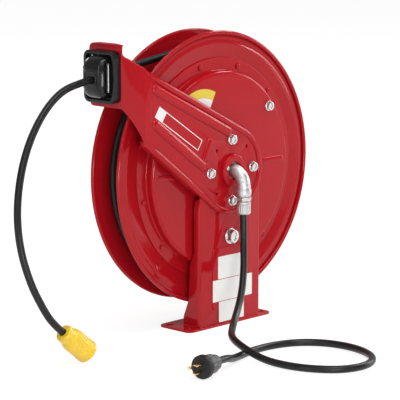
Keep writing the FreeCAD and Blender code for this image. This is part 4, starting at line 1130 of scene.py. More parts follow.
@dataclass
class GuideArm:
    """The pressed arm, its ribs and its blank badge."""

    layout: Layout
    rib_width: float = 17.0 * MM
    rib_height: float = 4.2 * MM
    far_corners: tuple[Pair, Pair] = ((-186, 172), (-186, 54))
    hub_end: float = 70.0 * MM
    touch: Pair = (63.3, -127.4)
    lip: Pair = (9.5 * MM, 3.2 * MM)
    trimmed: tuple[Pair, ...] = ((-209.5, -9), (-190, -9), (-190, 22), (-197, 22))
    ribs: tuple[tuple[Pair, Pair], ...] = (
        ((-168, 142), (-8, 62)), ((-168, 88), (-66, 14)),
    )
    cross_rib: tuple[Pair, Pair] = ((-50, 50), (-62, 24))
    badge: tuple[Pair, Pair] = ((-165, 108), (-71.5, 46.5))
    badge_width: float = 18.5 * MM

    def build(self, shop: Workshop) -> None:
        """Make the arm.

        Args:
            shop: where pieces are painted and placed.
        """
        arm = shop.ease("guide_arm", "stand", "red", "red_paint", 1.1 * MM, 3)
        corner = [self.scaled(pair) for pair in self.trimmed]
        carved(arm, [plate("corner_cutter", [corner], 451 * MM, 470 * MM, Facing.UP, 0.01 * MM)])
        front = self.layout.arm_front
        for number, (start, end) in enumerate(self.ribs, start=1):
            rib = dome("arm_rib_{}".format(number), self.scaled(start), self.scaled(end),
                       self.rib_width, self.rib_height, front, self.layout.axis.z)
            shop.add(rib, "stand", "red", "red_paint")
        start, end = self.cross_rib
        rib = dome("arm_cross_rib", self.scaled(start), self.scaled(end),
                   self.rib_width - 3 * MM, self.rib_height, front, self.layout.axis.z)
        shop.add(rib, "stand", "red", "red_paint")
        self.rolled_edge(shop)
        self.build_badge(shop)

    @staticmethod
    def scaled(pair: Pair) -> Pair:
        """A pair of millimetres in metres."""
        return (pair[0] * MM, pair[1] * MM)

    def rolled_edge(self, shop: Workshop) -> None:
        """The rolled edge along both sides of the arm and round its hub end.

        Args:
            shop: where pieces are painted and placed.
        """
        width, height = self.lip
        inset = width / 2 + 0.4 * MM
        centre = Vector((0, self.layout.axis.z))

        def straight(corner: Pair, degrees: float) -> list[Pair]:
            """The places from a far corner to where the hub's round end starts.

            Args:
                corner: the far corner in millimetres from the axis.
                degrees: where it meets the round end.

            Returns:
                The places as x and z.
            """
            angle = math.radians(degrees)
            out = Vector((math.cos(angle), math.sin(angle)))
            end = centre + out * (self.hub_end - inset)
            along = Vector(self.scaled(corner)) + centre - out * inset - end
            return [tuple(end + along * (1 - step / 40)) for step in range(40)]

        first, last = self.touch
        round_end = [self.layout.polar(self.hub_end - inset, first + (last - first) * step / 72)
                     for step in range(73)]
        path = (straight(self.far_corners[0], first) + round_end
                + straight(self.far_corners[1], last)[::-1])
        shop.add(bead("rolled_edge", path, width, height, self.layout.arm_front), "stand",
                 "red", "red_paint")

    def build_badge(self, shop: Workshop) -> None:
        """The badge's place: a blank white frame with a plain square at its outer end.

        Args:
            shop: where pieces are painted and placed.
        """
        start = Vector(self.scaled(self.badge[0]))
        end = Vector(self.scaled(self.badge[1]))
        along = (end - start).normalized()
        side = Vector((-along.y, along.x))
        half = self.badge_width / 2

        def corners(inset: float, first: float, last: float) -> list[Pair]:
            """The four corners of a strip between two places along the badge.

            Args:
                inset: how far it lies inside the badge's long sides.
                first: where it starts along the badge.
                last: where it ends.

            Returns:
                The corners as x and z.
            """
            return [tuple(spot + Vector((0, self.layout.axis.z))) for spot in (
                start + along * first - side * (half - inset),
                start + along * last - side * (half - inset),
                start + along * last + side * (half - inset),
                start + along * first + side * (half - inset))]

        length = (end - start).length
        edge = 1.3 * MM
        outer = softened(corners(0, 0, length), 0.8 * MM, 3)
        hole = softened(corners(edge, self.badge_width, length - edge), 0.5 * MM, 3)
        face = -self.layout.arm_front
        shop.add(plate("blank_badge", [outer, hole], face - 0.05 * MM, face + 0.22 * MM,
                       Facing.FRONT, 0.05 * MM), "stand", "white_film", "red_paint")


@dataclass
class Hub:
    """Collar, elbow and compression grip in front of the arm."""

    layout: Layout
    elbow_y: float = -60.0 * MM
    bend: float = 24.0 * MM
    radius: float = 10.8 * MM
    foot: float = 210.0 * MM
    grip_split: float = 197.0 * MM
    grip_low: float = 181.0 * MM
    grip_radius: float = 11.2 * MM

    def build(self, shop: Workshop) -> None:
        """Make the collar, elbow and grip.

        Args:
            shop: where pieces are painted and placed.
        """
        front = self.layout.arm_front
        outer = 25.5 * MM
        bore = 14.5 * MM
        tall = 8.0 * MM
        corners = [(bore, 0), (outer, 0), (outer, tall), (bore, tall)]
        collar = softened(corners, [0, 0, 3.2 * MM, 0.8 * MM], 6)
        shop.add(lathe("collar", collar, (0, front, self.layout.axis.z), (0, -1, 0)), "stand",
                 "red", "red_paint", ["hub_collar"])
        x, z = self.layout.polar(18.0 * MM, 163)
        seat = front - tall
        screw = softened([(0, 0), (3.1 * MM, 0), (3.1 * MM, 1.6 * MM), (0, 1.6 * MM)],
                         [0, 0, 0.9 * MM, 0], 4)
        shop.add(lathe("collar_pan_screw", screw, (x, seat, z), (0, -1, 0), 32), "stand", "zinc",
                 "zinc", ["collar_screw"])
        self.build_elbow(shop)
        self.build_grip(shop)
        shop.keep("main_shaft", "steel")
        shop.keep("inner_lead", "jacket")
        shop.ease("shaft_retaining_ring", "stand", "blued", "spring_steel", 0.25 * MM, 2)

    def build_elbow(self, shop: Workshop) -> None:
        """The elbow with its swollen ends.

        Args:
            shop: where pieces are painted and placed.
        """
        y = self.elbow_y
        top = self.layout.axis.z
        path = [Vector((0, self.layout.arm_front, top)), Vector((0, y + self.bend, top))]
        steps = 28
        for step in range(1, steps + 1):
            angle = math.pi / 2 * step / steps
            path.append(Vector((0, y + self.bend * (1 - math.sin(angle)),
                                top - self.bend * (1 - math.cos(angle)))))
        radii = [self.radius] * len(path)
        lower = [(self.foot + 12.5 * MM, 0.0), (self.foot + 11.0 * MM, 0.5 * MM),
                 (self.foot + 9.6 * MM, 1.2 * MM), (self.foot + 2.6 * MM, 1.2 * MM),
                 (self.foot + 1.2 * MM, 0.5 * MM), (self.foot, 0.2 * MM)]
        for height, extra in lower:
            path.append(Vector((0, y, height)))
            radii.append(self.radius + extra)
        shop.add(sweep("elbow_body", path, radii, 48), "stand", "galvanized", "galvanized",
                 ["elbow"])

    def build_grip(self, shop: Workshop) -> None:
        """The grip's ribbed body, its nut and the rubber gland.

        Args:
            shop: where pieces are painted and placed.
        """
        r = self.grip_radius
        base = (0, self.elbow_y, self.grip_split)
        tall = self.foot - self.grip_split
        hexed = hex_head("grip_hex", r * 1.94, 6.0 * MM, (0, self.elbow_y, self.foot - 7.5 * MM),
                         (0, 0, 1))
        neck = r - 3 * MM
        corners = [(0, 0), (r, 0), (r, 4 * MM), (neck, 4.8 * MM), (neck, tall), (0, tall)]
        barrel = lathe("grip_barrel", softened(corners, [0, 0.8 * MM, 0.4 * MM, 0, 0, 0], 4),
                       base, (0, 0, 1), 64)
        shop.add(joined("grip_body", [hexed, barrel]), "stand", "cast", "galvanized",
                 ["cord_grip_body"])
        nut_tall = self.grip_split - self.grip_low

        def flutes(angle: float, height: float) -> float:
            """Shallow grip flutes between the nut's two plain ends."""
            inside = 3 * MM < height < nut_tall - 2.5 * MM
            return -0.55 * MM * (0.5 - 0.5 * math.cos(angle * 18)) if inside else 0.0

        bore = 7.0 * MM
        corners = [(bore, 0), (r - 2 * MM, 0), (r, 2 * MM), (r, 3 * MM), (r, 3.2 * MM),
                   (r, nut_tall - 2.6 * MM), (r, nut_tall - 2.4 * MM), (r, nut_tall - 0.8 * MM),
                   (r - 0.8 * MM, nut_tall), (bore, nut_tall)]
        shop.add(lathe("grip_nut", corners, (0, self.elbow_y, self.grip_low), (0, 0, 1), 144,
                       flutes), "stand", "cast", "galvanized", ["cord_grip_nut"])
        low = self.grip_low - 2 * MM
        inner = self.layout.cord / 2
        corners = [(inner, 0), (inner + 0.9 * MM, 0), (bore + 0.4 * MM, 2.2 * MM),
                   (bore + 0.4 * MM, 20 * MM), (inner, 20 * MM)]
        shop.add(lathe("grip_gland", softened(corners, [0, 0.5 * MM, 0, 0, 0], 4),
                       (0, self.elbow_y, low), (0, 0, 1), 48), "stand", "black_matte",
                 "cord_rubber", ["cord_grip_gland"])


@dataclass
class Fasteners:
    """The screws and bolts that show, and the latch."""

    layout: Layout
    screws: HexScrews = field(default_factory=HexScrews)

    def build(self, shop: Workshop) -> None:
        """Make the fasteners and the latch.

        Args:
            shop: where pieces are painted and placed.
        """
        arm = []
        for degrees in (0, 90, 180, 270):
            x, z = self.layout.polar(48.5 * MM, degrees)
            arm.append(self.screws.at("arm_screw_{}".format(degrees), x, self.layout.arm_front,
                                      z))
        shop.add(joined("arm_hex_screws", arm), "stand", "zinc", "zinc", ["arm_screws"])
        big = HexScrews(19.0 * MM, 8.0 * MM, 12.5 * MM, 2.0 * MM, 2.2 * MM)
        shop.add(big.at("latch_bolt", 0.0, self.layout.stand_front, 142 * MM), "stand", "zinc",
                 "zinc", ["pawl_pivot_bolt"])
        x, z = self.layout.polar(141 * MM, 39.5)
        shop.add(self.screws.at("anchor_bolt", x, self.layout.case_front, z), "spool", "zinc",
                 "zinc", ["spring_anchor_bolt"])
        shop.ease("pawl_push_nut", "stand", "blued", "spring_steel", 0.2 * MM)
        shop.keep("pawl_spring", "blued")
        shop.ease("latch_pawl", "latch_pawl", "steel", "steel", 0.4 * MM)
        shop.ease("ratchet_ring", "spool", "steel", "steel", 0.3 * MM)


@dataclass
class Spool:
    """Discs, drum, spring case and the wound cord."""

    layout: Layout
    rim: float = 217.0 * MM
    bead: float = 3.2 * MM
    case: float = 155.0 * MM
    flange: float = 175.0 * MM

    def build(self, shop: Workshop) -> None:
        """Make the spool's pieces.

        Args:
            shop: where pieces are painted and placed.
        """
        self.disc(shop, "near_disc", self.layout.near_disc, -1, "front_disc")
        self.disc(shop, "far_disc", self.layout.far_disc, 1, "rear_disc")
        self.spring_case(shop)
        self.case_screws(shop)
        self.sector(shop)
        shop.keep("drum", "red")
        shop.ease("front_hub", "spool", "steel", "steel", 0.4 * MM)
        shop.ease("rear_hub", "spool", "steel", "steel", 0.4 * MM)
        shop.keep("rear_hub_screws", "zinc")
        shop.keep("front_bush", "bronze")
        shop.keep("rear_bush", "bronze")
        shop.keep("main_spring", "blued")
        shop.keep("spring_arbor", "steel")
        shop.keep("slip_rings", "brass")
        shop.keep("brushes", "brass")
        for node in ("slip_ring_core", "brush_block", "cord_clamp"):
            shop.keep(node, "black_matte")
        self.rear(shop)

    def disc(self, shop: Workshop, name: str, faces: Pair, side: int, node: str) -> None:
        """One disc with its rolled rim and the shallow step inside it.

        Args:
            shop: where pieces are painted and placed.
            name: the piece's name.
            faces: the sheet's two faces along the axis.
            side: -1 if the bead rolls towards the hub side, 1 if to the back.
            node: the CAD node that it replaces.
        """
        inner_face = faces[1] if side < 0 else faces[0]
        outer_face = faces[0] if side < 0 else faces[1]
        r = self.bead
        centre = self.rim - r
        centre_y = inner_face + r * side
        profile = [(24 * MM, inner_face), (centre, inner_face)]
        turns = 30
        for step in range(1, turns + 1):
            angle = -math.pi / 2 + math.radians(318) * step / turns
            profile.append((centre + r * math.cos(angle), centre_y + r * math.sin(angle) * side))
        step_y = 0.9 * MM * side
        ridge = [(centre - 5.2 * MM, outer_face + 0.2 * MM * side),
                 (centre - 9 * MM, outer_face), (200 * MM, outer_face),
                 (198.6 * MM, outer_face + step_y * 0.8), (196.8 * MM, outer_face + step_y),
                 (195.0 * MM, outer_face + step_y * 0.8), (193.6 * MM, outer_face),
                 (24 * MM, outer_face)]
        profile += ridge
        made = lathe(name, profile, (0, 0, self.layout.axis.z), (0, 1, 0), 256, degrees=40.0)
        shop.add(made, "spool", "red", "red_paint", [node])

    def spring_case(self, shop: Workshop) -> None:
        """The drawn spring case with its flange and its two pressed darts.

        Args:
            shop: where pieces are painted and placed.
        """
        front = self.layout.case_front
        seat = self.layout.near_disc[0]
        thick = 1.6 * MM
        corners = [(26 * MM, front), (self.case, front), (self.case, seat - thick),
                   (self.flange, seat - thick), (self.flange, seat),
                   (self.case - thick, seat), (self.case - thick, front + thick),
                   (26 * MM, front + thick)]
        radii = [0.3 * MM, 6 * MM, 2.4 * MM, 0.7 * MM, 0.2 * MM, 0.8 * MM, 4.4 * MM, 0.3 * MM]
        made = lathe("case_shell", softened(corners, radii, 7),
                     (0, 0, self.layout.axis.z), (0, 1, 0), 256, degrees=40.0)
        shop.add(made, "spool", "red", "red_paint", ["spring_case"])
        for name, start, end in (("dart_right", 98, 140), ("dart_left", -140, -98)):
            shop.add(dome(name, (start * MM, 0), (end * MM, 0), 11.0 * MM, 1.5 * MM,
                          front + 0.1 * MM, self.layout.axis.z), "spool", "red", "red_paint")

    def case_screws(self, shop: Workshop) -> None:
        """Twelve pan-head screws round the case's flange.

        Args:
            shop: where pieces are painted and placed.
        """
        seat = self.layout.near_disc[0] - 1.6 * MM
        made = []
        head = 4.2 * MM
        tall = 2.8 * MM
        for count in range(12):
            x, z = self.layout.polar(165 * MM, 30 * count + 12.5)
            corners = [(0, 0), (head, 0), (head, tall), (1.5 * MM, tall),
                       (1.1 * MM, tall - 0.8 * MM), (0, tall - 0.8 * MM)]
            rounded = softened(corners, [0, 0.2 * MM, 1.9 * MM, 0.1 * MM, 0.1 * MM, 0], 5)
            made.append(lathe("pan_{}".format(count), rounded, (x, seat, z), (0, -1, 0), 32))
        shop.add(joined("case_pan_screws", made), "spool", "red", "red_paint", ["case_screws"])

    def sector(self, shop: Workshop) -> None:
        """The blank two-colour film on the spring case.

        Args:
            shop: where pieces are painted and placed.
        """
        face = -self.layout.case_front
        bands = (("sector_white", 16, 52, "white_film"), ("sector_yellow", 52.4, 66,
                                                          "yellow_film"))
        centre = (-46 * MM, 312 * MM)
        steps = 20
        for name, inner, outer, finish in bands:
            arc = [math.radians(63 + 58 * step / steps) for step in range(steps + 1)]
            outline = [(centre[0] + outer * MM * math.cos(turn),
                        centre[1] + outer * MM * math.sin(turn)) for turn in arc]
            outline += [(centre[0] + inner * MM * math.cos(turn),
                         centre[1] + inner * MM * math.sin(turn)) for turn in arc[::-1]]
            shop.add(plate(name, [outline], face - 0.05 * MM, face + 0.2 * MM, Facing.FRONT,
                           0.05 * MM), "spool", finish, "red_paint")

    def rear(self, shop: Workshop) -> None:
        """The cap over the shaft's end, its screws and the drum's tie bolts.

        Args:
            shop: where pieces are painted and placed.
        """
        seat = self.layout.far_disc[1]
        z = self.layout.axis.z
        tall = 14 * MM
        corners = [(60 * MM, 0), (60 * MM, 2 * MM), (52 * MM, 2 * MM), (52 * MM, tall),
                   (14 * MM, tall), (12.6 * MM, tall - 0.8 * MM), (0, tall - 0.8 * MM),
                   (0, tall - 2 * MM), (50 * MM, tall - 2 * MM), (50 * MM, 0)]
        radii = [0.1 * MM, 0.6 * MM, 1.6 * MM, 5 * MM, 0.4 * MM, 0.4 * MM, 0, 0, 3 * MM,
                 0.1 * MM]
        shop.add(lathe("end_cap", softened(corners, radii, 6), (0, seat, z), (0, 1, 0), 128),
                 "spool", "black_matte", "black_plastic", ["rear_cap"])
        shop.keep("rear_cap_screws", "zinc")
        made = []
        for count in range(6):
            x, height = self.layout.polar(128 * MM, 60 * count + 30)
            made.append(washer("tie_washer_{}".format(count), 3 * MM, 7.5 * MM, 1.4 * MM,
                               (x, seat, height), (0, 1, 0)))
            made.append(hex_head("tie_nut_{}".format(count), 12 * MM, 4.5 * MM,
                                 (x, seat + 1.4 * MM, height), (0, 1, 0), 0.8 * MM))
        shop.add(joined("tie_bolt_heads", made), "spool", "zinc", "zinc", ["tie_bolts"])


@dataclass
class Winding:
    """The cord on the drum and the run from it to the guide."""

    layout: Layout
    layer: float = 181.6 * MM
    under: float = 170.4 * MM
    wrap: float = 193.6 * MM
    pitch: float = 12.0 * MM
    per_turn: int = 96
    middle: float = 29.0 * MM
    outer_turns: float = 3.4
    outer_start: float = 128.0
    outer_gap: float = 0.05 * MM
    taken_turns: float = 0.875

    def coil(self, radius: float, start_y: float, start: float, turns: float,
             way: int, pitch: float) -> list[Vector]:
        """Points of a coil about the spool axis.

        Args:
            radius: the coil's radius.
            start_y: where it starts along the axis.
            start: the angle where it starts, in degrees.
            turns: how many turns.
            way: 1 or -1, the way it goes round.
            pitch: how far it moves along the axis in a turn.

        Returns:
            The points.
        """
        count = int(round(turns * self.per_turn))
        points = []
        for step in range(count + 1):
            turn = turns * step / count
            x, z = self.layout.polar(radius, start + way * 360 * turn)
            points.append(Vector((x, start_y + pitch * turn, z)))
        return points

    def build(self, shop: Workshop) -> None:
        """Make the two layers that show and the run to the guide.

        Args:
            shop: where pieces are painted and placed.
        """
        pitch = self.layout.cord + self.outer_gap
        outer = self.coil(self.layer, self.middle - pitch * self.outer_turns / 2,
                          self.outer_start, self.outer_turns, 1, pitch)
        shop.add(sweep("outer_turns", outer, self.layout.cord / 2, 20), "spool", "jacket",
                 "cord_rubber", ["wound_cord"])
        inner = self.coil(self.under, 10.2 * MM, 100.0, 3.3, -1, 11.5 * MM)
        shop.add(sweep("under_turns", inner, self.layout.cord / 2, 16), "spool", "jacket",
                 "cord_rubber")
        corners = [(140.3 * MM, 4.5 * MM), (165 * MM, 4.5 * MM), (165 * MM, 53.5 * MM),
                   (140.3 * MM, 53.5 * MM)]
        shop.add(lathe("inner_turns", corners, (0, 0, self.layout.axis.z), (0, 1, 0), 160),
                 "spool", "jacket", "cord_rubber", ["wound_core"])
        self.run_on(shop)

    def run_on(self, shop: Workshop) -> None:
        """The straight run from the guide and the turn that it takes over the layer.

        Args:
            shop: where pieces are painted and placed.
        """
        reach = self.layout.guide.x - 14 * MM
        rise = self.layout.guide.z - self.layout.axis.z
        distance = math.hypot(reach, rise)
        bearing = math.degrees(math.atan2(rise, reach))
        touch = bearing - math.degrees(math.acos(self.wrap / distance))
        run = math.sqrt(distance ** 2 - self.wrap ** 2)
        drift = self.pitch * run / (2 * math.pi * self.wrap)
        start_y = self.layout.guide.y - drift
        wrap = self.coil(self.wrap, start_y, touch, self.taken_turns, -1, -self.pitch)
        lead_in = Vector((reach, self.layout.guide.y, self.layout.guide.z))
        straight = [lead_in.lerp(wrap[0], step / 24) for step in range(24)]
        shop.add(sweep("run_to_guide", straight + wrap, self.layout.cord / 2, 20), "stand",
                 "jacket", "cord_rubber", ["cord_run_on"])


@dataclass
class RollerGuide:
    """The bezel, the nose, four rollers, their pins and the bezel's screws."""

    layout: Layout
    nose_half: Pair = (24.3 * MM, 32.5 * MM)
    nose_depth: float = 28.6 * MM
    flat_radius: float = 6.5 * MM
    flat_half: float = 16.6 * MM
    flat_out: float = 23.5 * MM
    flat_rise: float = 13.8 * MM
    side_radius: float = 6.0 * MM
    side_half: float = 22.6 * MM
    side_out: float = 10.5 * MM
    side_spread: float = 16.0 * MM
    screw_spread: Pair = (23.5 * MM, 30.0 * MM)

    def build(self, shop: Workshop) -> None:
        """Make the guide.

        Args:
            shop: where pieces are painted and placed.
        """
        shop.ease("guide_bezel", "stand", "black_gloss", "black_housing", 1.2 * MM, 4)
        guide = self.layout.guide
        self.nose(shop)
        for name, way in (("top_roller", 1), ("bottom_roller", -1)):
            base = (guide.x - self.flat_out, guide.y - self.flat_half,
                    guide.z + way * self.flat_rise)
            self.roller(shop, name, base, (0, 1, 0), self.flat_half * 2, self.flat_radius)
        for name, way in (("near_roller", -1), ("far_roller", 1)):
            base = (guide.x - self.side_out, guide.y + way * self.side_spread,
                    guide.z - self.side_half)
            self.roller(shop, name, base, (0, 0, 1), self.side_half * 2, self.side_radius)
        shop.keep("roller_pins", "oxide")
        self.screws(shop)

    def nose(self, shop: Workshop) -> None:
        """The domed nose: its mouth for the cord and a slot beside each upright roller.

        Args:
            shop: where pieces are painted and placed.
        """
        guide = self.layout.guide
        base = (guide.x - 3.9 * MM, guide.y, guide.z)
        half = self.nose_half
        shell = pillow("nose_shell", base, half, self.nose_depth, 3.6, 2.4 * MM)

        def frame_line(wide: float, tall: float, corner: float, at: Pair) -> list[Pair]:
            """A rounded rectangle about a place.

            Args:
                wide: half its width.
                tall: half its height.
                corner: the radius of its corners.
                at: its centre.

            Returns:
                The outline's points.
            """
            return softened([(at[0] - wide, at[1] - tall), (at[0] + wide, at[1] - tall),
                             (at[0] + wide, at[1] + tall), (at[0] - wide, at[1] + tall)],
                            corner, 8)

        def slot(side: int) -> bpy.types.Object:
            """The cutter of the slot beside an upright roller.

            Args:
                side: -1 for the near roller, 1 for the far one.

            Returns:
                The cutter.
            """
            line = frame_line(7 * MM, 23.5 * MM, 6.5 * MM, (guide.x - 16.5 * MM, guide.z))
            low, high = (14 * MM, 30 * MM) if side < 0 else (-30 * MM, -14 * MM)
            return plate("slot_{}".format(side), [line], low, high, Facing.FRONT, 0.05 * MM,
                         (0, guide.y, 0))

        mouth = (guide.y, guide.z)
        front = -base[0] + self.nose_depth
        cutters = [plate("mouth", [frame_line(10.5 * MM, 8.2 * MM, 6 * MM, mouth)],
                         -base[0] + 8 * MM, front + 3 * MM, Facing.LEFT, 0.05 * MM)]
        cutters += [slot(side) for side in (-1, 1)]
        carved(shell, cutters)
        lip = plate("mouth_lip", [frame_line(13.2 * MM, 10.9 * MM, 8.2 * MM, mouth),
                                  frame_line(10.3 * MM, 8.0 * MM, 5.8 * MM, mouth)],
                    front - 3.2 * MM, front + 0.7 * MM, Facing.LEFT, 1.3 * MM)
        shop.add(joined("nose_dome", [shell, lip]), "stand", "black_gloss",
                 "black_housing", ["guide_nose"])

    def roller(self, shop: Workshop, node: str, base: Point, axis: Point, length: float,
               radius: float) -> None:
        """One roller with eased ends and a groove near each end.

        Args:
            shop: where pieces are painted and placed.
            node: the CAD node that it replaces, and its body.
            base: the centre of its first end.
            axis: the way to its other end.
            length: its length.
            radius: its radius.
        """
        bore = 2.55 * MM
        groove = 0.45 * MM
        corners = [(bore, 0), (radius, 0), (radius, 2.4 * MM), (radius - groove, 2.7 * MM),
                   (radius - groove, 3.3 * MM), (radius, 3.6 * MM), (radius, length - 3.6 * MM),
                   (radius - groove, length - 3.3 * MM), (radius - groove, length - 2.7 * MM),
                   (radius, length - 2.4 * MM), (radius, length), (bore, length)]
        radii = [0.2 * MM, 0.8 * MM, 0, 0, 0, 0, 0, 0, 0, 0, 0.8 * MM, 0.2 * MM]
        shop.add(lathe(node + "_turned", softened(corners, radii, 4), base, axis, 64), node,
                 "roller", "black_roller", [node])

    def screws(self, shop: Workshop) -> None:
        """Four pan-head screws in the bezel's corners.

        Args:
            shop: where pieces are painted and placed.
        """
        guide = self.layout.guide
        seat = guide.x - 4 * MM
        off, rise = self.screw_spread
        made = []
        for side in (-1, 1):
            for row in (-1, 1):
                spot = (seat, guide.y + off * side, guide.z + rise * row)
                corners = [(0, 0), (3.3 * MM, 0), (3.3 * MM, 2 * MM), (1.2 * MM, 2 * MM),
                           (0.9 * MM, 1.2 * MM), (0, 1.2 * MM)]
                radii = [0, 0.1 * MM, 1.4 * MM, 0.1 * MM, 0.1 * MM, 0]
                made.append(lathe("corner_{}_{}".format(side, row), softened(corners, radii, 4),
                                  spot, (-1, 0, 0), 32))
        shop.add(joined("corner_screws", made), "stand", "zinc", "zinc", ["guide_screws"])


LEAD_ROUTE: tuple[Point, ...] = (
    (0, -60, 197), (0, -60, 163), (-4, -64, 130), (-12, -72, 97), (-34, -88, 64),
    (-66, -107, 41), (-101, -130, 27.5), (-136, -160, 23.5), (-153, -199, 18.5),
    (-157, -242, 8.5), (-152, -285, 5.7), (-139, -326, 5.7), (-112, -359, 5.7),
    (-71, -369, 5.7), (-33, -353, 5.7), (-9, -318, 5.7), (-1, -275, 5.7), (-11, -233, 5.7),
    (-40, -202, 5.7), (-82, -189, 5.7), (-127, -190, 5.7), (-160, -198, 5.7),
    (-190, -212, 10), (-216, -224, 18.2), (-240, -228, 18.2),
)
TAIL_ROUTE: tuple[Point, ...] = (
    (-226, 29, 409), (-260, 29, 403.6), (-304, 26.5, 395), (-346, 20, 368), (-382, 12, 328),
    (-408, 3, 281), (-423, -6, 229), (-425, -15, 179), (-415, -24, 131), (-401, -31, 97),
    (-384, -36, 67.3), (-365, -38, 51.3),
)


def in_metres(route: Sequence[Point]) -> list[Point]:
    """A route in metres."""
    return [(x * MM, y * MM, z * MM) for x, y, z in route]


@dataclass
class Connector:
    """The yellow connector on the tail."""

    radius: float = 18.0 * MM
    length: float = 58.0 * MM

    def build(self, shop: Workshop, route: Sequence[Point]) -> list[bpy.types.Object]:
        """Make the connector at the end of a route.

        Args:
            shop: where pieces are painted and placed.
            route: the cord's points in metres.

        Returns:
            The pieces on the cord.
        """
        base = Vector(route[-1])
        axis = (base - Vector(route[-2])).normalized()
        r = self.radius
        long = self.length

        def ribs(angle: float, height: float) -> float:
            """Grip ribs round the middle of the body."""
            inside = 22 * MM < height < 44 * MM
            return 0.6 * MM * (0.5 + 0.5 * math.cos(angle * 22)) - 0.6 * MM if inside else 0.0

        corners = [(6 * MM, 0), (12.5 * MM, 0), (14 * MM, 3 * MM), (14 * MM, 13 * MM),
                   (16.4 * MM, 16 * MM), (17.2 * MM, 20 * MM), (r - 0.3 * MM, 21.8 * MM),
                   (r - 0.3 * MM, 22.2 * MM), (r - 0.3 * MM, 43.8 * MM),
                   (r - 0.3 * MM, 44.2 * MM), (r, 46 * MM), (r, long - 6 * MM),
                   (6 * MM, long - 6 * MM)]
        radii = [0, 1.2 * MM, 0.8 * MM, 0.8 * MM, 1.5 * MM, 1 * MM, 0, 0, 0, 0, 0.4 * MM,
                 0.4 * MM, 0]
        body = shop.add(lathe("connector_shell", softened(corners, radii, 4), tuple(base),
                              tuple(axis), 176, ribs), "stand", "yellow", "yellow_plastic",
                        ["connector_body"])
        face = shop.ease("connector_face", "stand", "yellow", "yellow_plastic", 0.5 * MM, 3)
        shop.keep("connector_screws", "zinc")
        return [body, face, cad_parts["connector_screws"]]


@dataclass
class Plug:
    """The plug on the lead."""

    radius: float = 18.0 * MM
    length: float = 40.0 * MM

    def build(self, shop: Workshop, route: Sequence[Point]) -> list[bpy.types.Object]:
        """Make the plug at the end of a route.

        Args:
            shop: where pieces are painted and placed.
            route: the cord's points in metres.

        Returns:
            The pieces on the cord.
        """
        base = Vector(route[-1])
        axis = base - Vector(route[-2])
        axis.z = 0
        axis.normalize()
        r = self.radius
        long = self.length

        def ribs(angle: float, height: float) -> float:
            """Grip ribs on the body."""
            inside = 15 * MM < height < 27 * MM
            return -0.9 * MM * (0.5 - 0.5 * math.cos(angle * 14)) if inside else 0.0

        corners = [(5.7 * MM, 0), (9 * MM, 0), (11.6 * MM, 3 * MM), (12.4 * MM, 10 * MM),
                   (14.2 * MM, 13 * MM), (14.4 * MM, 14.8 * MM), (14.5 * MM, 15.2 * MM),
                   (15.2 * MM, 26.8 * MM), (15.3 * MM, 27.2 * MM), (r - 1 * MM, 30 * MM),
                   (5.7 * MM, 30 * MM)]
        radii = [0, 1.2 * MM, 1 * MM, 1 * MM, 0.8 * MM, 0, 0, 0, 0, 0.6 * MM, 0]
        body = shop.add(lathe("plug_grip", softened(corners, radii, 4), tuple(base),
                              tuple(axis), 168, ribs), "stand", "gray", "gray_plastic",
                        ["plug_body"])
        cap = shop.ease("plug_cap", "stand", "black_matte", "black_plastic", 0.5 * MM, 3)
        blades = shop.ease("plug_blades", "stand", "brass", "brass", 0.25 * MM, 2)
        return [body, cap, blades]


def seen_rays(shader: Shader) -> Value:
    """One for rays that show the background: from the camera, in gloss or through glass.

    Args:
        shader: the floor's material.

    Returns:
        The value, 0 or 1.
    """
    names = ("Is Camera Ray", "Is Glossy Ray", "Is Transmission Ray")
    camera, glossy, through = (shader.node("ShaderNodeLightPath", output=name) for name in names)
    either = shader.node("ShaderNodeMath", {"operation": "MAXIMUM"}, {0: camera, 1: glossy})
    return shader.node("ShaderNodeMath", {"operation": "MAXIMUM"}, {0: either, 1: through})


LAMPS: tuple[tuple[str, Point, Pair, float], ...] = (
    ("top", (0.0, -0.9, 2.9), (1.6, 0.5), 22.0),
    ("accent", (-0.83, -1.35, 0.16), (0.5, 0.25), 5.0),
    ("strip", (2.9, -0.6, 1.1), (0.8, 0.7), 14.0),
    ("side", (3.4, -1.9, 0.9), (0.3, 1.6), 18.0),
    ("right", (2.6, -0.3, 2.7), (1.1, 0.9), 38.0),
    ("left", (-3.6, -0.7, 1.0), (0.3, 1.8), 12.0),
    ("rear", (0.4, 3.4, 1.8), (1.4, 0.8), 22.0),
)


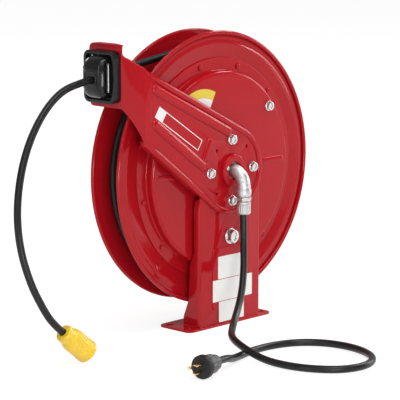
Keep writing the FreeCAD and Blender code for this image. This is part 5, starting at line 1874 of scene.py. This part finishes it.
@dataclass
class Studio:
    """Camera, lights and the pale floor."""

    camera_place: Point = (-2.2768, -2.1469, 0.7587)
    target: Point = (-0.0365, 0.0, 0.2004)
    lens: float = 180.0
    sensor: float = 36.0
    aim: Point = (0.0, 0.0, 0.22)
    floor_side: float = 30.0
    floor_colour: Colour = (0.86, 0.86, 0.86)
    glow: float = 1.3
    glow_share: float = 0.6
    sky: float = 0.35

    def camera(self) -> None:
        """Create the camera at the photograph's angle."""
        data = bpy.data.cameras.new("camera")
        data.lens = self.lens
        data.sensor_width = self.sensor
        data.clip_end = 60.0
        camera = linked("camera", data)
        place = Vector(self.camera_place)
        camera.location = place
        look = Vector(self.target) - place
        camera.rotation_euler = look.to_track_quat("-Z", "Y").to_euler()
        bpy.context.scene.camera = camera

    def lamp(self, name: str, place: Point, size: Pair, power: float) -> None:
        """Add a soft lamp that looks at the reel.

        Args:
            name: the lamp's name.
            place: where it stands.
            size: its width and height.
            power: its power in watts.
        """
        data = bpy.data.lights.new(name, "AREA")
        data.shape = "RECTANGLE"
        data.size, data.size_y = size
        data.energy = power
        lamp = linked(name, data)
        lamp.location = Vector(place)
        look = Vector(self.aim) - Vector(place)
        lamp.rotation_euler = look.to_track_quat("-Z", "Y").to_euler()

    def sun(self, name: str, direction: Point, strength: float, spread: float) -> None:
        """Add an even light over object and floor.

        Args:
            name: the lamp's name.
            direction: where it shines from.
            strength: its strength in watts a square metre.
            spread: its apparent size in degrees, which softens the shadow.
        """
        data = bpy.data.lights.new(name, "SUN")
        data.energy = strength
        data.angle = math.radians(spread)
        lamp = linked(name, data)
        lamp.rotation_euler = Vector(direction).to_track_quat("Z", "Y").to_euler()

    def floor(self) -> None:
        """The pale floor, which shows near white and keeps the shadow."""
        side = self.floor_side
        corners = [(-side, -side, 0), (side, -side, 0), (side, side, 0), (-side, side, 0)]
        floor = mesh_object("floor", corners, [(0, 1, 2, 3)])
        shader = Shader("pale_floor")
        shader.finish(self.floor_colour, 0.6)
        glow = shader.node("ShaderNodeEmission", None, {"Strength": self.glow})
        share = seen_rays(shader) * self.glow_share
        plain = Value(shader, shader.surface.outputs[0])
        both = shader.node("ShaderNodeMixShader", None, {0: share, 1: plain, 2: glow})
        shader.tree.links.new(both.output, shader.output.inputs["Surface"])
        floor.data.materials.append(shader.material)

    def world(self) -> None:
        """Even, plain light from all round; the floor alone is the white background."""
        world = bpy.data.worlds.new("studio")
        bpy.context.scene.world = world
        world.use_nodes = True
        sky = next(node for node in world.node_tree.nodes if node.type == "BACKGROUND")
        sky.inputs["Color"].default_value = (1, 1, 1, 1)
        sky.inputs["Strength"].default_value = self.sky

    def light(self) -> None:
        """Set up the lamps, the floor and the world."""
        self.sun("sun", (-0.5, -0.75, 1.0), 0.95, 50.0)
        for name, place, size, power in LAMPS:
            self.lamp(name, place, size, power)
        self.floor()
        self.world()
        bpy.context.scene.view_settings.view_transform = "Standard"


def main() -> None:
    """Build every piece in order."""
    logging.basicConfig(level=logging.INFO, format="%(message)s")
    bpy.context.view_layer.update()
    studio = Studio()
    studio.camera()
    shop = Workshop()
    layout = Layout()
    tail = in_metres(TAIL_ROUTE)
    lead = in_metres(LEAD_ROUTE)
    tail_cord = shop.add(cord_curve("tail", tail, layout.cord), "stand", "jacket",
                         "cord_rubber", ["tail_cord"])
    lead_cord = shop.add(cord_curve("lead", lead, layout.cord), "stand", "jacket",
                         "cord_rubber", ["lead_cord"])
    on_tail = Connector().build(shop, tail)
    on_lead = Plug().build(shop, lead)
    Stand(layout).build(shop)
    GuideArm(layout).build(shop)
    Hub(layout).build(shop)
    Fasteners(layout).build(shop)
    Spool(layout).build(shop)
    Winding(layout).build(shop)
    RollerGuide(layout).build(shop)
    studio.light()


if __name__ == "__main__":
    main()
